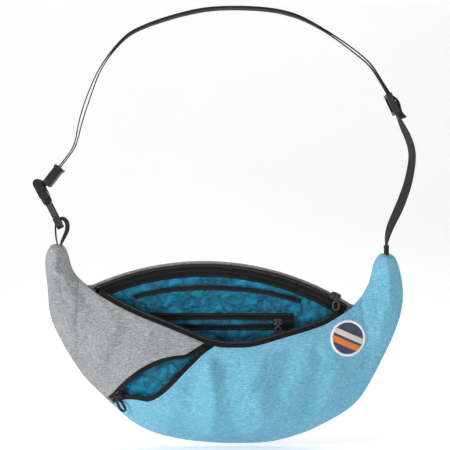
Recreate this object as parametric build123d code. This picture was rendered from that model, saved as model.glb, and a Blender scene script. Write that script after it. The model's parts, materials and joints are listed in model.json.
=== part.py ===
from build123d import *

import math
import os

# Crescent-shaped sling bag, upright as worn: +Z up, +X to the right as seen from the front.
# The body-side panel lies flat in the plane y = 0 and the front bulges towards -Y.
# The origin is on the back panel, 90 mm above the bottom of the hem.
# All lengths in millimetres, angles in degrees.

os.makedirs("parts", exist_ok=True)

# ------------------------------------------------------------------ driving dimensions
SHELL_T = 0.9          # outer fabric
LINING_T = 0.4         # lining fabric
TAPE_T = 0.5           # zip tape
COIL_T = 1.1           # coils of the main and front zips
PLY_GAP = 0.1          # clearance between stacked fabrics
COIL_GAP = 0.05        # clearance between a tape or pocket panel and what lies on it
WEB_T = 1.2            # strap webbing thickness
WEB_W = 15.0           # strap webbing width
STRAP_Y = -11.5        # mid-plane of the strap and its hardware

LIP_DEPTH = 46.0       # how far the open front lip stands off the hem plane
LIP_POWER = 0.8        # fullness of the lip towards the mouth corners
BELLY = 11.0           # extra crown of the front panel between seams
CROWN_SOFTENING = 40.0 # flattens the crown where hem and top edge meet
TOP_OVERRUN = 6.0      # furthest past the top edge that still counts in the crown
HEM_RISE = 26.0        # distance over which the front rises from the hem seam
FACE_Y = -(SHELL_T + PLY_GAP + SHELL_T)   # outer face of the front at the hem seam
MOUTH_C = -3.5         # middle of the mouth along X
MOUTH_HALF = 142.0     # half length of the mouth

ARC_X, ARC_Z, ARC_R = -20.3, -180.4, 273.3   # back edge of the mouth: centre and radius
ARC_STEPS = 24
TAPE_BACK_W = 13.0     # width of the back zip tape
TAPE_BACK_INSET = 3.0  # from the back edge of the mouth in to the back zip tape

PANEL_STEP = 4         # point spacing on panel edges and strap
ZIP_STEP = 3           # point spacing on the front zip's edges

# ------------------------------------------------------------------ outlines, all (x, z)
# hem seam, left tip over the bottom to the right tip
HEM = [(-168.0, 111.1), (-174.8, 107.8), (-178.6, 100.0), (-179.8, 90.0), (-178.4, 76.0),
       (-176.9, 60.1), (-175.6, 44.3), (-171.8, 30.0), (-164.2, 14.2), (-154.4, -3.0),
       (-141.2, -22.4), (-129.3, -34.8), (-118.5, -45.2), (-107.4, -55.4), (-94.9, -66.4),
       (-80.5, -75.2), (-66.2, -80.8), (-50.0, -84.8), (-30.3, -87.9), (1.0, -90.0),
       (36.9, -89.6), (58.4, -86.2), (81.4, -79.2), (101.4, -69.9), (118.7, -60.2),
       (131.3, -50.6), (139.4, -41.2), (146.1, -30.3), (153.1, -17.4), (160.3, -3.0),
       (167.4, 11.3), (173.2, 25.7), (177.3, 38.4), (179.6, 51.5), (179.9, 63.0),
       (178.4, 75.9), (175.5, 88.0), (171.4, 97.2), (163.5, 101.6)]
# inner edges of the two closed tips, left to right
LEFT_INNER = [(-168.0, 111.1), (-162.6, 109.3), (-158.7, 104.6), (-156.0, 97.4),
              (-153.8, 88.8), (-150.4, 81.2), (-144.8, 74.8), (-137.6, 68.4)]
RIGHT_INNER = [(130.6, 48.4), (135.2, 53.8), (139.9, 60.2), (143.6, 66.8), (146.4, 73.4),
               (148.1, 80.6), (149.9, 88.8), (153.4, 96.4), (158.2, 100.6), (163.5, 101.6)]
# front edge of the mouth, left corner to right corner
MOUTH = [(-137.6, 68.4), (-129.3, 62.3), (-118.5, 55.8), (-102.0, 47.2), (-80.5, 37.9),
         (-59.0, 29.8), (-37.5, 21.2), (-18.8, 13.4), (1.0, 9.2), (22.5, 9.4), (36.9, 11.9),
         (58.4, 18.0), (81.4, 24.2), (100.0, 30.2), (110.0, 35.4), (119.0, 40.6),
         (125.8, 44.6), (130.6, 48.4)]
# front pocket opening: fabric lips, tooth edges and hidden tape edges, lower left to upper right
GREY_LIP = [(-118.4, -45.0), (-110.7, -38.4), (-103.0, -29.6), (-91.0, -18.5), (-79.0, -10.0),
            (-64.0, -2.5), (-49.5, 1.2), (-38.0, 2.6), (-30.4, 7.0), (-19.4, 13.6)]
UPPER_TAPE_EDGE = [(-118.4, -37.4), (-112.5, -32.5), (-106.0, -25.0), (-93.5, -14.0),
                   (-81.0, -5.5), (-65.0, 2.0), (-50.0, 5.8), (-39.5, 7.2), (-32.5, 10.2),
                   (-27.0, 11.4)]
UPPER_TEETH = [(-113.9, -46.2), (-109.2, -42.4), (-104.0, -38.3), (-100.2, -34.2),
               (-97.0, -29.8), (-87.6, -21.6), (-76.6, -13.8), (-62.6, -6.6), (-49.2, -2.4),
               (-37.0, -0.6), (-28.6, 3.4), (-23.0, 7.0), (-18.9, 9.7)]
LOWER_TEETH = [(-113.3, -46.8), (-108.7, -43.1), (-103.6, -39.1), (-98.8, -39.4),
               (-88.0, -38.9), (-77.0, -40.2), (-69.4, -37.9), (-61.0, -30.8),
               (-49.5, -19.7), (-41.2, -10.9), (-30.6, -0.9), (-24.0, 4.9), (-18.2, 9.2)]
LOWER_TAPE_EDGE = [(-104.8, -51.8), (-102.0, -50.5), (-97.0, -48.8), (-91.0, -48.2),
                   (-83.0, -48.6), (-76.0, -49.6), (-68.4, -48.0), (-61.2, -43.8),
                   (-53.6, -37.6), (-46.0, -30.4), (-34.5, -18.2), (-24.6, -8.2),
                   (-16.0, 0.2), (-11.6, 3.6)]
BLUE_LIP = [(-111.9, -51.3), (-106.6, -47.4), (-101.0, -45.0), (-91.6, -43.7), (-83.2, -44.0),
            (-76.3, -45.0), (-70.6, -43.6), (-64.6, -40.2), (-57.1, -34.4), (-49.5, -27.0),
            (-38.0, -14.7), (-28.1, -4.8), (-19.6, 3.4), (-9.0, 10.6)]


# ------------------------------------------------------------------ plane curve helpers
def smooth_line(points, step):
    """Dense polyline through the points (uniform Catmull-Rom)."""
    out = []
    last = len(points) - 1
    for i in range(last):
        before, start = points[max(i - 1, 0)], points[i]
        end, after = points[i + 1], points[min(i + 2, last)]
        count = max(1, int(round(math.dist(start, end) / step)))
        for k in range(count):
            t = k / count
            out.append(tuple(
                0.5 * (2 * b + (c - a) * t
                       + (2 * a - 5 * b + 4 * c - d) * t * t
                       + (3 * b - a - 3 * c + d) * t ** 3)
                for a, b, c, d in zip(before, start, end, after)))
    out.append(points[-1])
    return out


def side_step(points, i, distance):
    """Point i moved sideways; positive is to the left of travel, seen from the front."""
    a, b = points[max(i - 1, 0)], points[min(i + 1, len(points) - 1)]
    dx, dz = b[0] - a[0], b[1] - a[1]
    length = math.hypot(dx, dz) or 1.0
    return (points[i][0] - dz / length * distance, points[i][1] + dx / length * distance)


def offset_line(points, distance):
    return [side_step(points, i, distance) for i in range(len(points))]


def within(points, x_min, x_max, z_max=math.inf):
    return [p for p in points if x_min < p[0] < x_max and p[1] < z_max]


def mix(a, b, t):
    return (a[0] + (b[0] - a[0]) * t, a[1] + (b[1] - a[1]) * t)


def point_along(points, fraction):
    """Point at a fraction of a polyline's length."""
    lengths = [math.dist(p, q) for p, q in zip(points[:-1], points[1:])]
    goal = fraction * sum(lengths)
    for p, q, length in zip(points[:-1], points[1:], lengths):
        if goal <= length and length > 0:
            return mix(p, q, goal / length)
        goal -= length
    return points[-1]


def arc_about(centre, radius, start_deg, end_deg, steps):
    """Points on a circle, angles from the first axis towards the second."""
    out = []
    for i in range(steps + 1):
        a = math.radians(start_deg + (end_deg - start_deg) * i / steps)
        out.append((centre[0] + radius * math.cos(a), centre[1] + radius * math.sin(a)))
    return out


def distance_to(points, x, z):
    best = math.inf
    for (ax, az), (bx, bz) in zip(points[:-1], points[1:]):
        dx, dz = bx - ax, bz - az
        t = ((x - ax) * dx + (z - az) * dz) / (dx * dx + dz * dz or 1.0)
        t = min(1.0, max(0.0, t))
        best = min(best, math.hypot(x - ax - t * dx, z - az - t * dz))
    return best


def inside(polygon, x, z):
    hit = False
    xj, zj = polygon[-1]
    for xi, zi in polygon:
        if (zi > z) != (zj > z) and x < (xj - xi) * (z - zi) / (zj - zi) + xi:
            hit = not hit
        xj, zj = xi, zi
    return hit


def ease(t):
    t = min(1.0, max(0.0, t))
    return t * t * (3 - 2 * t)


# ------------------------------------------------------------------ shape of the front
HEM_LINE = smooth_line(HEM, 6)
TOP_LINE = smooth_line(LEFT_INNER, 5)[:-1] + smooth_line(MOUTH, 5)[:-1] + smooth_line(RIGHT_INNER, 5)
# regions above the hem and below the top edge, closed well outside the bag
ABOVE_HEM = [(-260, 260)] + HEM_LINE + [(260, 260)]
BELOW_TOP = [(-260, -300), (-260, 111.1)] + TOP_LINE + [(260, 101.6), (260, -300)]


def depth(x, z):
    """How far the front stands off the hem plane at (x, z)."""
    hem_gap = distance_to(HEM_LINE, x, z) * (1 if inside(ABOVE_HEM, x, z) else -1)
    top_gap = distance_to(TOP_LINE, x, z) * (1 if inside(BELOW_TOP, x, z) else -1)
    if hem_gap <= 0:
        return 0.0
    u = (x - MOUTH_C) / MOUTH_HALF
    lip = LIP_DEPTH * max(0.0, 1 - u * u) ** LIP_POWER
    rise = 1 - math.exp(-hem_gap / HEM_RISE)
    top_gap = max(top_gap, -TOP_OVERRUN)
    crown = 4 * BELLY * hem_gap * top_gap / ((hem_gap + top_gap) ** 2 + CROWN_SOFTENING)
    return max(0.0, rise * lip + crown)


def outer_y(x, z):
    return FACE_Y - depth(x, z)


def behind_face(offset):
    """Surface parallel in y to the outer face; a negative offset stands in front of it."""
    return lambda x, z: outer_y(x, z) + offset


def edge_ease(x, z):
    """0 near the seams and the mouth, 1 well inside the front."""
    return ease((min(distance_to(HEM_LINE, x, z), distance_to(TOP_LINE, x, z)) - 4.0) / 14.0)


# ------------------------------------------------------------------ solid helpers
def polygon_face(points):
    return Face(Wire.make_polygon([Vector(*p) for p in points], close=True))


def extrude_y(face, y_start, width):
    return Solid.extrude(face.moved(Location((0, y_start, 0))), Vector(0, width, 0))


def extrude_z(face, z_start, height):
    return Solid.extrude(face.moved(Location((0, 0, z_start))), Vector(0, 0, height))


def box(size, corner):
    return Solid.make_box(*size).moved(Location(corner))


def rod_x(radius, length, x_start):
    return Solid.make_cylinder(radius, length, Plane(origin=(x_start, 0, 0), z_dir=(1, 0, 0)))


def rod_y(radius, length, x=0, z=0):
    """Cylinder along Y, centred on y = 0."""
    return Solid.make_cylinder(radius, length, Plane(origin=(x, -length / 2, z), z_dir=(0, 1, 0)))


def place(shape, origin, x_dir, z_dir):
    return shape.moved(Location(Plane(origin=origin, x_dir=x_dir, z_dir=z_dir)))


def place_on_strap(shape, centre, x_dir, z_dir):
    """Places a strap fitting; centre and directions are (x, z) pairs."""
    return place(shape, (centre[0], STRAP_Y, centre[1]),
                 (x_dir[0], 0, x_dir[1]), (z_dir[0], 0, z_dir[1]))


def save(name, *shapes):
    solids = [solid for shape in shapes for solid in shape.solids()]
    out = solids[0] if len(solids) == 1 else Compound(children=solids)
    out.label = name
    export_step(out, f"parts/{name}.step")


def curved_sheet(near, far, thickness, face_y, columns, rows, start=None, end=None, crowding=1.0):
    """Fabric solid of flat triangles over a four-sided patch of the xz-plane (Coons patch).

    near and far run the same way; start and end join their first and last points.  face_y
    gives the outward face.  crowding above 1 packs the rows towards near.
    """
    start = start or [near[0], far[0]]
    end = end or [near[-1], far[-1]]
    front = []
    for i in range(columns + 1):
        u = i / columns
        on_near, on_far = point_along(near, u), point_along(far, u)
        line = []
        for j in range(rows + 1):
            v = (j / rows) ** crowding
            on_start, on_end = point_along(start, v), point_along(end, v)
            x, z = (
                (1 - v) * on_near[k] + v * on_far[k] + (1 - u) * on_start[k] + u * on_end[k]
                - ((1 - u) * (1 - v) * near[0][k] + u * (1 - v) * near[-1][k]
                   + (1 - u) * v * far[0][k] + u * v * far[-1][k])
                for k in (0, 1))
            line.append((x, face_y(x, z), z))
        front.append(line)
    back = [[(x, y + thickness, z) for x, y, z in line] for line in front]
    faces = []
    for grid, order in ((front, 1), (back, -1)):
        for i in range(columns):
            for j in range(rows):
                p, q = grid[i][j], grid[i + 1][j]
                r, s = grid[i + 1][j + 1], grid[i][j + 1]
                faces.append(polygon_face((p, q, r)[::order]))
                faces.append(polygon_face((p, r, s)[::order]))
    border = ([(i, 0) for i in range(columns)] + [(columns, j) for j in range(rows)]
              + [(i, rows) for i in range(columns, 0, -1)] + [(0, j) for j in range(rows, 0, -1)])
    for (i, j), (k, m) in zip(border, border[1:] + border[:1]):
        faces.append(polygon_face((front[i][j], front[k][m], back[k][m], back[i][j])))
    solid = Solid(Shell(faces))
    # an inside-out shell is rebuilt from reversed faces
    if solid.volume < 0:
        solid = Solid(Shell([-f for f in faces]))
    return solid


def loop_face(*curves):
    """Planar face in the xz-plane bounded by point lists, end to start: two points make a
    line, more make a spline."""
    min_spacing = 0.8
    edges = []
    for curve in curves:
        points = [curve[0]]
        for p in curve[1:-1]:
            if math.dist(p, points[-1]) > min_spacing and math.dist(p, curve[-1]) > min_spacing:
                points.append(p)
        points.append(curve[-1])
        ends = [Vector(x, 0, z) for x, z in points]
        edges.append(Edge.make_line(*ends) if len(ends) == 2 else Edge.make_spline(ends))
    return Face(Wire(edges))


def band_face(near, far):
    """Face between two curves that run the same way, closed by straight ends."""
    return loop_face(near, [near[-1], far[-1]], far[::-1], [far[0], near[0]])


def stadium_face(x_start, x_end, half_width, across):
    """Slot shape along X; x_start and x_end are the centres of its round ends."""
    def point(x, side):
        return Vector(x, 0, 0) + Vector(*across) * (side * half_width)

    return Face(Wire([
        Edge.make_line(point(x_start, 1), point(x_end, 1)),
        Edge.make_three_point_arc(point(x_end, 1), point(x_end + half_width, 0), point(x_end, -1)),
        Edge.make_line(point(x_end, -1), point(x_start, -1)),
        Edge.make_three_point_arc(point(x_start, -1), point(x_start - half_width, 0),
                                  point(x_start, 1))]))


def ribbon(line, thickness, middle_y, width):
    """Webbing that follows a line in the xz-plane."""
    left, right = offset_line(line, thickness / 2), offset_line(line, -thickness / 2)
    outline = [(x, 0, z) for x, z in left + right[::-1]]
    return extrude_y(polygon_face(outline), middle_y - width / 2, width)


# Angles on the back edge of the mouth are measured from +Z towards +X.
def arc_point(angle, radius=ARC_R):
    a = math.radians(angle)
    return (ARC_X + radius * math.sin(a), ARC_Z + radius * math.cos(a))


def arc_angle(x, z):
    return math.degrees(math.atan2(x - ARC_X, z - ARC_Z))


def arc_points(start, end, steps, radius=ARC_R):
    return [arc_point(start + (end - start) * i / steps, radius) for i in range(steps + 1)]


def ring_sector(profile, start, end):
    """Solid of revolution about the back-edge arc's axis; profile in (radius, y)."""
    points = []
    for radius, y in profile:
        x, z = arc_point(start, radius)
        points.append((x, y, z))
    return Solid.revolve(polygon_face(points), end - start, Axis((ARC_X, 0, ARC_Z), (0, 1, 0)))


def ring_bar(r_inner, r_outer, back_y, height, start, end):
    """Ring sector of rectangular section."""
    front_y = back_y - height
    profile = [(r_inner, back_y), (r_outer, back_y), (r_outer, front_y), (r_inner, front_y)]
    return ring_sector(profile, start, end)


# ------------------------------------------------------------------ back panel and lining
ARC_LEFT = arc_angle(*LEFT_INNER[-1])
ARC_RIGHT = arc_angle(*RIGHT_INNER[0])
mouth_back = arc_points(ARC_LEFT, ARC_RIGHT, ARC_STEPS)
mouth_back[0], mouth_back[-1] = LEFT_INNER[-1], RIGHT_INNER[0]
back_face = loop_face(HEM, RIGHT_INNER[::-1], mouth_back[::-1], LEFT_INNER[::-1])
save("back_panel", extrude_y(back_face, -SHELL_T, SHELL_T))

TAPE_BACK_OUTER_R = ARC_R - TAPE_BACK_INSET
TAPE_BACK_INNER_R = TAPE_BACK_OUTER_R - TAPE_BACK_W
LINING_TAPE_OVERLAP = 3    # lining runs this far under the back zip tape
LINING_END_ANGLE = 1.5     # lining stops this far short of each mouth corner
LINING_FRONT_Y = -SHELL_T - PLY_GAP - LINING_T


def inset_hem(distance, x_min, x_max, z_max=60):
    return within(offset_line(HEM_LINE, distance), x_min, x_max, z_max)


lining_low = inset_hem(8, -150, 150)
lining_top = arc_points(ARC_LEFT + LINING_END_ANGLE, ARC_RIGHT - LINING_END_ANGLE, 20,
                        TAPE_BACK_INNER_R + LINING_TAPE_OVERLAP)
lining_face = band_face(lining_low[::3] + [lining_low[-1]], lining_top)
save("lining_back", extrude_y(lining_face, LINING_FRONT_Y, LINING_T))

# ------------------------------------------------------------------ outer front panels
# grey panel: left of the front pocket opening, from hem to mouth
grey_hem = smooth_line(HEM[:13], PANEL_STEP)
grey_hem[-1] = GREY_LIP[0]
grey_top = (smooth_line(LEFT_INNER, PANEL_STEP)[:-1]
            + smooth_line(MOUTH[:7] + [GREY_LIP[-1]], PANEL_STEP))
save("front_panel_grey",
     curved_sheet(grey_hem[1:], grey_top[1:], SHELL_T, outer_y, columns=40, rows=13,
                  end=smooth_line(GREY_LIP, ZIP_STEP), crowding=1.25))

# blue panel: right of the front pocket opening
blue_hem = smooth_line([BLUE_LIP[0]] + HEM[14:], PANEL_STEP)
blue_top = (smooth_line([BLUE_LIP[-1]] + MOUTH[8:], PANEL_STEP)[:-1]
            + smooth_line(RIGHT_INNER, PANEL_STEP))
save("front_panel_blue",
     curved_sheet(blue_hem[:-1], blue_top[:-1], SHELL_T, outer_y, columns=54, rows=13,
                  start=smooth_line(BLUE_LIP, ZIP_STEP), crowding=1.25))

# ------------------------------------------------------------------ zip tapes on the front
TAPE_OFFSET = SHELL_T + 0.25             # outer face of the front to the tape
COIL_OFFSET = TAPE_OFFSET + TAPE_T + 0.2
tape_y = behind_face(TAPE_OFFSET)
coil_y = behind_face(COIL_OFFSET)

# front half of the main zip, from below the mouth edge to above it
mouth_line = smooth_line(MOUTH, PANEL_STEP)
tape_run = within(mouth_line, -128, 119)
save("main_zip_tape_front",
     curved_sheet(offset_line(tape_run, -1.8), offset_line(tape_run, 6.0), TAPE_T, tape_y,
                  columns=56, rows=2))
coil_run = within(mouth_line, -119, 110)
save("main_zip_coil_front",
     curved_sheet(offset_line(coil_run, 4.2), offset_line(coil_run, 6.2), COIL_T, coil_y,
                  columns=56, rows=1))

# front pocket zip: side, tooth edge, hidden tape edge, x limits and edge offsets of the coil
FRONT_ZIP = [("upper", UPPER_TEETH, UPPER_TAPE_EDGE, (-113.5, -20.5), (0.05, 1.7)),
             ("lower", LOWER_TEETH, LOWER_TAPE_EDGE, (-113.0, -20.0), (-1.7, -0.05))]
for side, teeth, tape_edge, coil_limits, coil_edges in FRONT_ZIP:
    teeth_line = smooth_line(teeth, ZIP_STEP)
    save(f"front_zip_tape_{side}",
         curved_sheet(teeth_line, smooth_line(tape_edge, ZIP_STEP), TAPE_T, tape_y,
                      columns=36, rows=2))
    coil_run = within(teeth_line, *coil_limits)
    save(f"front_zip_coil_{side}",
         curved_sheet(offset_line(coil_run, coil_edges[0]), offset_line(coil_run, coil_edges[1]),
                      COIL_T, coil_y, columns=36, rows=1))

# ------------------------------------------------------------------ front linings
POCKET_GAP = 1.0               # pocket lining behind the shell at the hem
POCKET_SLACK = 1.6             # extra distance once clear of the hem
POCKET_SAG = 4.6               # further distance in the middle of the front
# upper edge of the front pocket lining, (x, z), left to right
POCKET_TOP = [(-112.0, -26.0), (-101.0, -10.0), (-80.0, 8.0), (-50.0, 15.0), (-24.0, 11.0),
              (-6.0, 3.0), (20.0, 0.5), (48.0, -8.0), (66.0, -30.0)]


def pocket_y(x, z):
    ramp = ease((distance_to(HEM_LINE, x, z) - 6.0) / 8.0)
    slack = (POCKET_SLACK + POCKET_SAG * edge_ease(x, z)) * ramp
    return outer_y(x, z) + SHELL_T + POCKET_GAP + slack


def lining_y(x, z):
    """Behind the pocket lining, but always in front of the back lining."""
    behind_pocket = pocket_y(x, z) + LINING_T + 0.8 + 0.2 * edge_ease(x, z)
    return min(behind_pocket, LINING_FRONT_Y - LINING_T - 0.2)


save("front_pocket_lining",
     curved_sheet(inset_hem(13, -112, 66), smooth_line(POCKET_TOP, PANEL_STEP), LINING_T,
                  pocket_y, columns=26, rows=9, crowding=1.15))
save("lining_front",
     curved_sheet(inset_hem(9, -142, 140, z_max=10),
                  within(offset_line(mouth_line, -6.2), -126, 118), LINING_T,
                  lining_y, columns=40, rows=10, crowding=1.15))

# ------------------------------------------------------------------ back half of the main zip
TAPE_START, TAPE_END = ARC_LEFT + 1.2, ARC_RIGHT - 1.0
COIL_START, COIL_END = TAPE_START + 1.4, TAPE_END - 0.6
# back side of the tape, (radius, y): it leans forward towards its coil
TAPE_TILT = [(TAPE_BACK_INNER_R, -2.0), (TAPE_BACK_INNER_R + 7.0, -4.6),
             (TAPE_BACK_OUTER_R, -5.3)]
tape_front_side = [(radius, y - TAPE_T) for radius, y in TAPE_TILT]
save("main_zip_tape_back",
     ring_sector(TAPE_TILT + tape_front_side[::-1], TAPE_START, TAPE_END))
MAIN_COIL_Y = TAPE_TILT[-1][1] - TAPE_T - COIL_GAP
save("main_zip_coil_back",
     ring_bar(ARC_R - 4.6, ARC_R - 2.4, MAIN_COIL_Y, COIL_T, COIL_START, COIL_END))

# ------------------------------------------------------------------ inner pockets, back lining
POCKET_BACK_Y = -3.2           # back side of both pocket panels
POCKET_FRONT_Y = POCKET_BACK_Y - LINING_T
BINDING_W, BINDING_T = 5.0, 0.7
# upper edge of the slip pocket, (x, z), left to right
BINDING_TOP = [(-91.3, 58.6), (-80.5, 61.8), (-59.0, 65.9), (-37.5, 67.8), (-16.0, 68.5),
               (5.0, 67.9), (30.0, 65.6), (55.0, 61.0), (78.0, 54.5)]
SLIP_BOTTOM = [(-88.0, 37.6), (76.0, 37.6)]
# zip pocket panel: straight top, then its sides and curved bottom from left to right
ZIP_POCKET_TOP = [(-86.0, 25.6), (74.0, 25.6)]
ZIP_POCKET_BOTTOM = [(-86.0, -14.0), (-40.0, -40.0), (0.0, -43.0), (40.0, -38.0), (74.0, -22.0)]

slip_face = band_face(offset_line(BINDING_TOP, -0.6), SLIP_BOTTOM)
save("slip_pocket_panel", extrude_y(slip_face, POCKET_FRONT_Y, LINING_T))
binding_face = band_face(BINDING_TOP, offset_line(BINDING_TOP, -BINDING_W))
save("slip_pocket_binding",
     extrude_y(binding_face, POCKET_FRONT_Y - COIL_GAP - BINDING_T, BINDING_T))
save("inner_zip_pocket_panel",
     extrude_y(band_face(ZIP_POCKET_TOP, ZIP_POCKET_BOTTOM), POCKET_FRONT_Y, LINING_T))

# inner zip: two straight tapes whose facing edges bow apart, a coil along each
ZIP_Z = 31.9                   # middle of the inner zip
ZIP_X0, ZIP_X1 = -82.0, 70.0
ZIP_HALF_GAP = 0.2             # middle of the zip to each tape at the ends
INNER_COIL_W, INNER_COIL_T = 1.5, 1.0
INNER_TAPE_BACK_Y = POCKET_FRONT_Y - PLY_GAP
INNER_TAPE_FRONT_Y = INNER_TAPE_BACK_Y - TAPE_T


def bowed_edge(z, bow):
    """Edge along the inner zip that bows by bow at mid length."""
    middle = (ZIP_X0 + ZIP_X1) / 2
    return [(ZIP_X0, z), ((ZIP_X0 + middle) / 2, z + 0.72 * bow), (middle, z + bow),
            ((ZIP_X1 + middle) / 2, z + 0.72 * bow), (ZIP_X1, z)]


# name, side of the middle, z of the sewn edge, bow of the facing edge
for side, sign, sewn_z, bow in (("upper", 1, 40.6, 2.2), ("lower", -1, 23.4, -2.8)):
    edge = bowed_edge(ZIP_Z + sign * ZIP_HALF_GAP, bow)
    tape_face = band_face(edge, [(ZIP_X0, sewn_z), (ZIP_X1, sewn_z)])
    save(f"inner_zip_tape_{side}", extrude_y(tape_face, INNER_TAPE_FRONT_Y, TAPE_T))
    coil_face = band_face(edge, [(x, z + sign * INNER_COIL_W) for x, z in edge])
    save(f"inner_zip_coil_{side}",
         extrude_y(coil_face, INNER_TAPE_FRONT_Y - COIL_GAP - INNER_COIL_T, INNER_COIL_T))

# ------------------------------------------------------------------ sliders and pulls
# Slider frame: +X the way it opens the zip, +Y across, +Z out towards the user,
# z = 0 on the middle of the tapes.
PLATE_T = 1.1
# plate outline as fractions of length and width
PLATE_OUTLINE = [(-0.5, -0.33), (-0.10, -0.5), (0.36, -0.5), (0.5, -0.30),
                 (0.5, 0.30), (0.36, 0.5), (-0.10, 0.5), (-0.5, 0.33)]
LOW_PLATE_SCALE = (0.94, 0.86)
# arch over the top plate that holds the pull's ring, (x, height)
CROWN_OUTLINE = [(-4.3, 0), (-4.1, 2.4), (-3.0, 3.6), (3.0, 3.6), (4.1, 2.4), (4.3, 0),
                 (3.3, 0), (3.15, 2.0), (2.6, 2.65), (-2.6, 2.65), (-3.15, 2.0), (-3.3, 0)]
CROWN_W = 1.4
CROWN_SINK = 0.02              # sunk into the plate so that the two join
POST_L, POST_W = 2.2, 1.4
RING_R, RING_WIRE = 2.2, 0.5
RING_HEIGHT = 3.12             # ring centre above the foot of the crown
NECK_W, NECK_T = 2.4, 1.3
OUT_FRONT = (0, -1, 0)
UP = (0, 0, 1)


def slider(length, width, top_z, low_z):
    """Two plates whose facing sides are at top_z and low_z, a post and a crown."""
    outline = [(x * length, y * width, 0) for x, y in PLATE_OUTLINE]
    low_outline = [(x * LOW_PLATE_SCALE[0], y * LOW_PLATE_SCALE[1], 0) for x, y, _ in outline]
    top = extrude_z(polygon_face(outline), top_z, PLATE_T)
    bottom = extrude_z(polygon_face(low_outline), low_z - PLATE_T, PLATE_T)
    post = box((POST_L, POST_W, top_z - low_z + 0.2),
               (length / 2 - 3.2, -POST_W / 2, low_z - 0.1))
    crown_face = polygon_face([(x, 0, z) for x, z in CROWN_OUTLINE])
    crown = extrude_y(crown_face, CROWN_W / 2, -CROWN_W)
    # guards against an inside-out extrusion
    if crown.volume < 0:
        crown = extrude_y(crown_face, -CROWN_W / 2, CROWN_W)
    crown = crown.moved(Location((0, 0, top_z + PLATE_T - CROWN_SINK)))
    return top.fuse(bottom).fuse(post).fuse(crown).clean()


def ring_pull(top_z, neck_len, loop_len, loop_w, wire):
    """Small ring round the crown's top bar, a neck and an oval loop, lying towards -X."""
    z = top_z + PLATE_T - CROWN_SINK + RING_HEIGHT
    ring = Solid.make_torus(RING_R, RING_WIRE, Plane(origin=(0, 0, z), z_dir=(0, 1, 0)))
    neck = box((neck_len + 0.6, NECK_W, NECK_T),
               (-RING_R - neck_len - 0.2, -NECK_W / 2, z - NECK_T / 2))
    x_far = -RING_R - neck_len - loop_len + loop_w / 2
    x_near = -RING_R - neck_len - loop_w / 2 + 0.3

    def stadium(half_width, height, z_start):
        face = stadium_face(x_far, x_near, half_width, across=(0, 1, 0))
        return extrude_z(face, z_start, height)

    oval = stadium(loop_w / 2, wire, z - wire / 2)
    # guards against an inside-out extrusion
    if oval.volume < 0:
        oval = Solid.extrude(oval.faces().sort_by(Axis.Z)[0], Vector(0, 0, wire))
    oval = oval.cut(stadium(loop_w / 2 - wire, wire + 2, z - wire / 2 - 1))
    return ring.fuse(neck).fuse(oval).clean()


# main zip: slider on the back coil near the right corner, pull hanging straight down
slider_angle = TAPE_END - 3.4
slider_x, slider_z = arc_point(slider_angle, ARC_R - 1.2)
main_origin = (slider_x, TAPE_TILT[-1][1] - TAPE_T / 2, slider_z)
main_dir = (math.cos(math.radians(slider_angle)), 0, -math.sin(math.radians(slider_angle)))
MAIN_TOP_Z = 1.75
save("main_zip_slider",
     place(slider(length=10.5, width=8.2, top_z=MAIN_TOP_Z, low_z=-1.0),
           main_origin, main_dir, OUT_FRONT))
save("main_zip_pull",
     place(ring_pull(top_z=MAIN_TOP_Z, neck_len=2.2, loop_len=10.0, loop_w=7.4, wire=1.6),
           main_origin, UP, OUT_FRONT))

# front pocket zip: slider at the lower left end of an arc through three (x, z) stations
FRONT_PATH = [(-103.4, -38.8), (-62.0, -17.6), (-29.0, 1.6)]
FRONT_TOP_Z = 1.05
SLOPE_STEP = 2.0
tape_middle_y = behind_face(TAPE_OFFSET + TAPE_T / 2)
path = [Vector(x, tape_middle_y(x, z), z) for x, z in FRONT_PATH]
tangent = Edge.make_three_point_arc(*path).tangent_at(0)
# surface normal at the slider, squared up to the path
start_x, start_z = FRONT_PATH[0]
slope_x = (depth(start_x + SLOPE_STEP, start_z)
           - depth(start_x - SLOPE_STEP, start_z)) / (2 * SLOPE_STEP)
slope_z = (depth(start_x, start_z + SLOPE_STEP)
           - depth(start_x, start_z - SLOPE_STEP)) / (2 * SLOPE_STEP)
normal = Vector(-slope_x, -1, -slope_z)
normal = (normal - tangent * normal.dot(tangent)).normalized()
save("front_zip_slider",
     place(slider(length=10.0, width=7.6, top_z=FRONT_TOP_Z, low_z=-2.05),
           path[0], tangent, normal))
# the pull lies along the surface and points almost straight down
hang = Vector(0.10, 0, -1.0)
hang = (hang - normal * hang.dot(normal)).normalized()
save("front_zip_pull",
     place(ring_pull(top_z=FRONT_TOP_Z, neck_len=2.0, loop_len=14.0, loop_w=9.6, wire=1.8),
           path[0], hang * -1, normal))

# inner zip: slider near the right end, pull hanging down
INNER_TOP_Z = 1.75
inner_origin = (ZIP_X1 - 16.0, INNER_TAPE_BACK_Y - TAPE_T / 2, ZIP_Z)
save("inner_zip_slider",
     place(slider(length=9.0, width=7.0, top_z=INNER_TOP_Z, low_z=-0.85),
           inner_origin, (-1, 0, 0), OUT_FRONT))
save("inner_zip_pull",
     place(ring_pull(top_z=INNER_TOP_Z, neck_len=1.8, loop_len=11.0, loop_w=7.0, wire=1.5),
           inner_origin, UP, OUT_FRONT))

# end stops at the left ends of the main and inner zips
STOP_T = 1.6
main_stop = ring_bar(ARC_R - 5.2, ARC_R - 1.9, MAIN_COIL_Y, STOP_T,
                     TAPE_START + 0.55, TAPE_START + 1.3)
inner_stop = box((1.8, STOP_T, 3.0),
                 (ZIP_X0 - 2.0, INNER_TAPE_FRONT_Y - COIL_GAP - STOP_T, ZIP_Z - 1.5))
save("zip_end_stops", main_stop, inner_stop)

# ------------------------------------------------------------------ round patch, right side
PATCH_CENTRE = (123.0, 16.6)
PATCH_R = 18.0
DISC_R = PATCH_R - 2.3
BORDER_INNER_R = PATCH_R - 1.85


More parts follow.
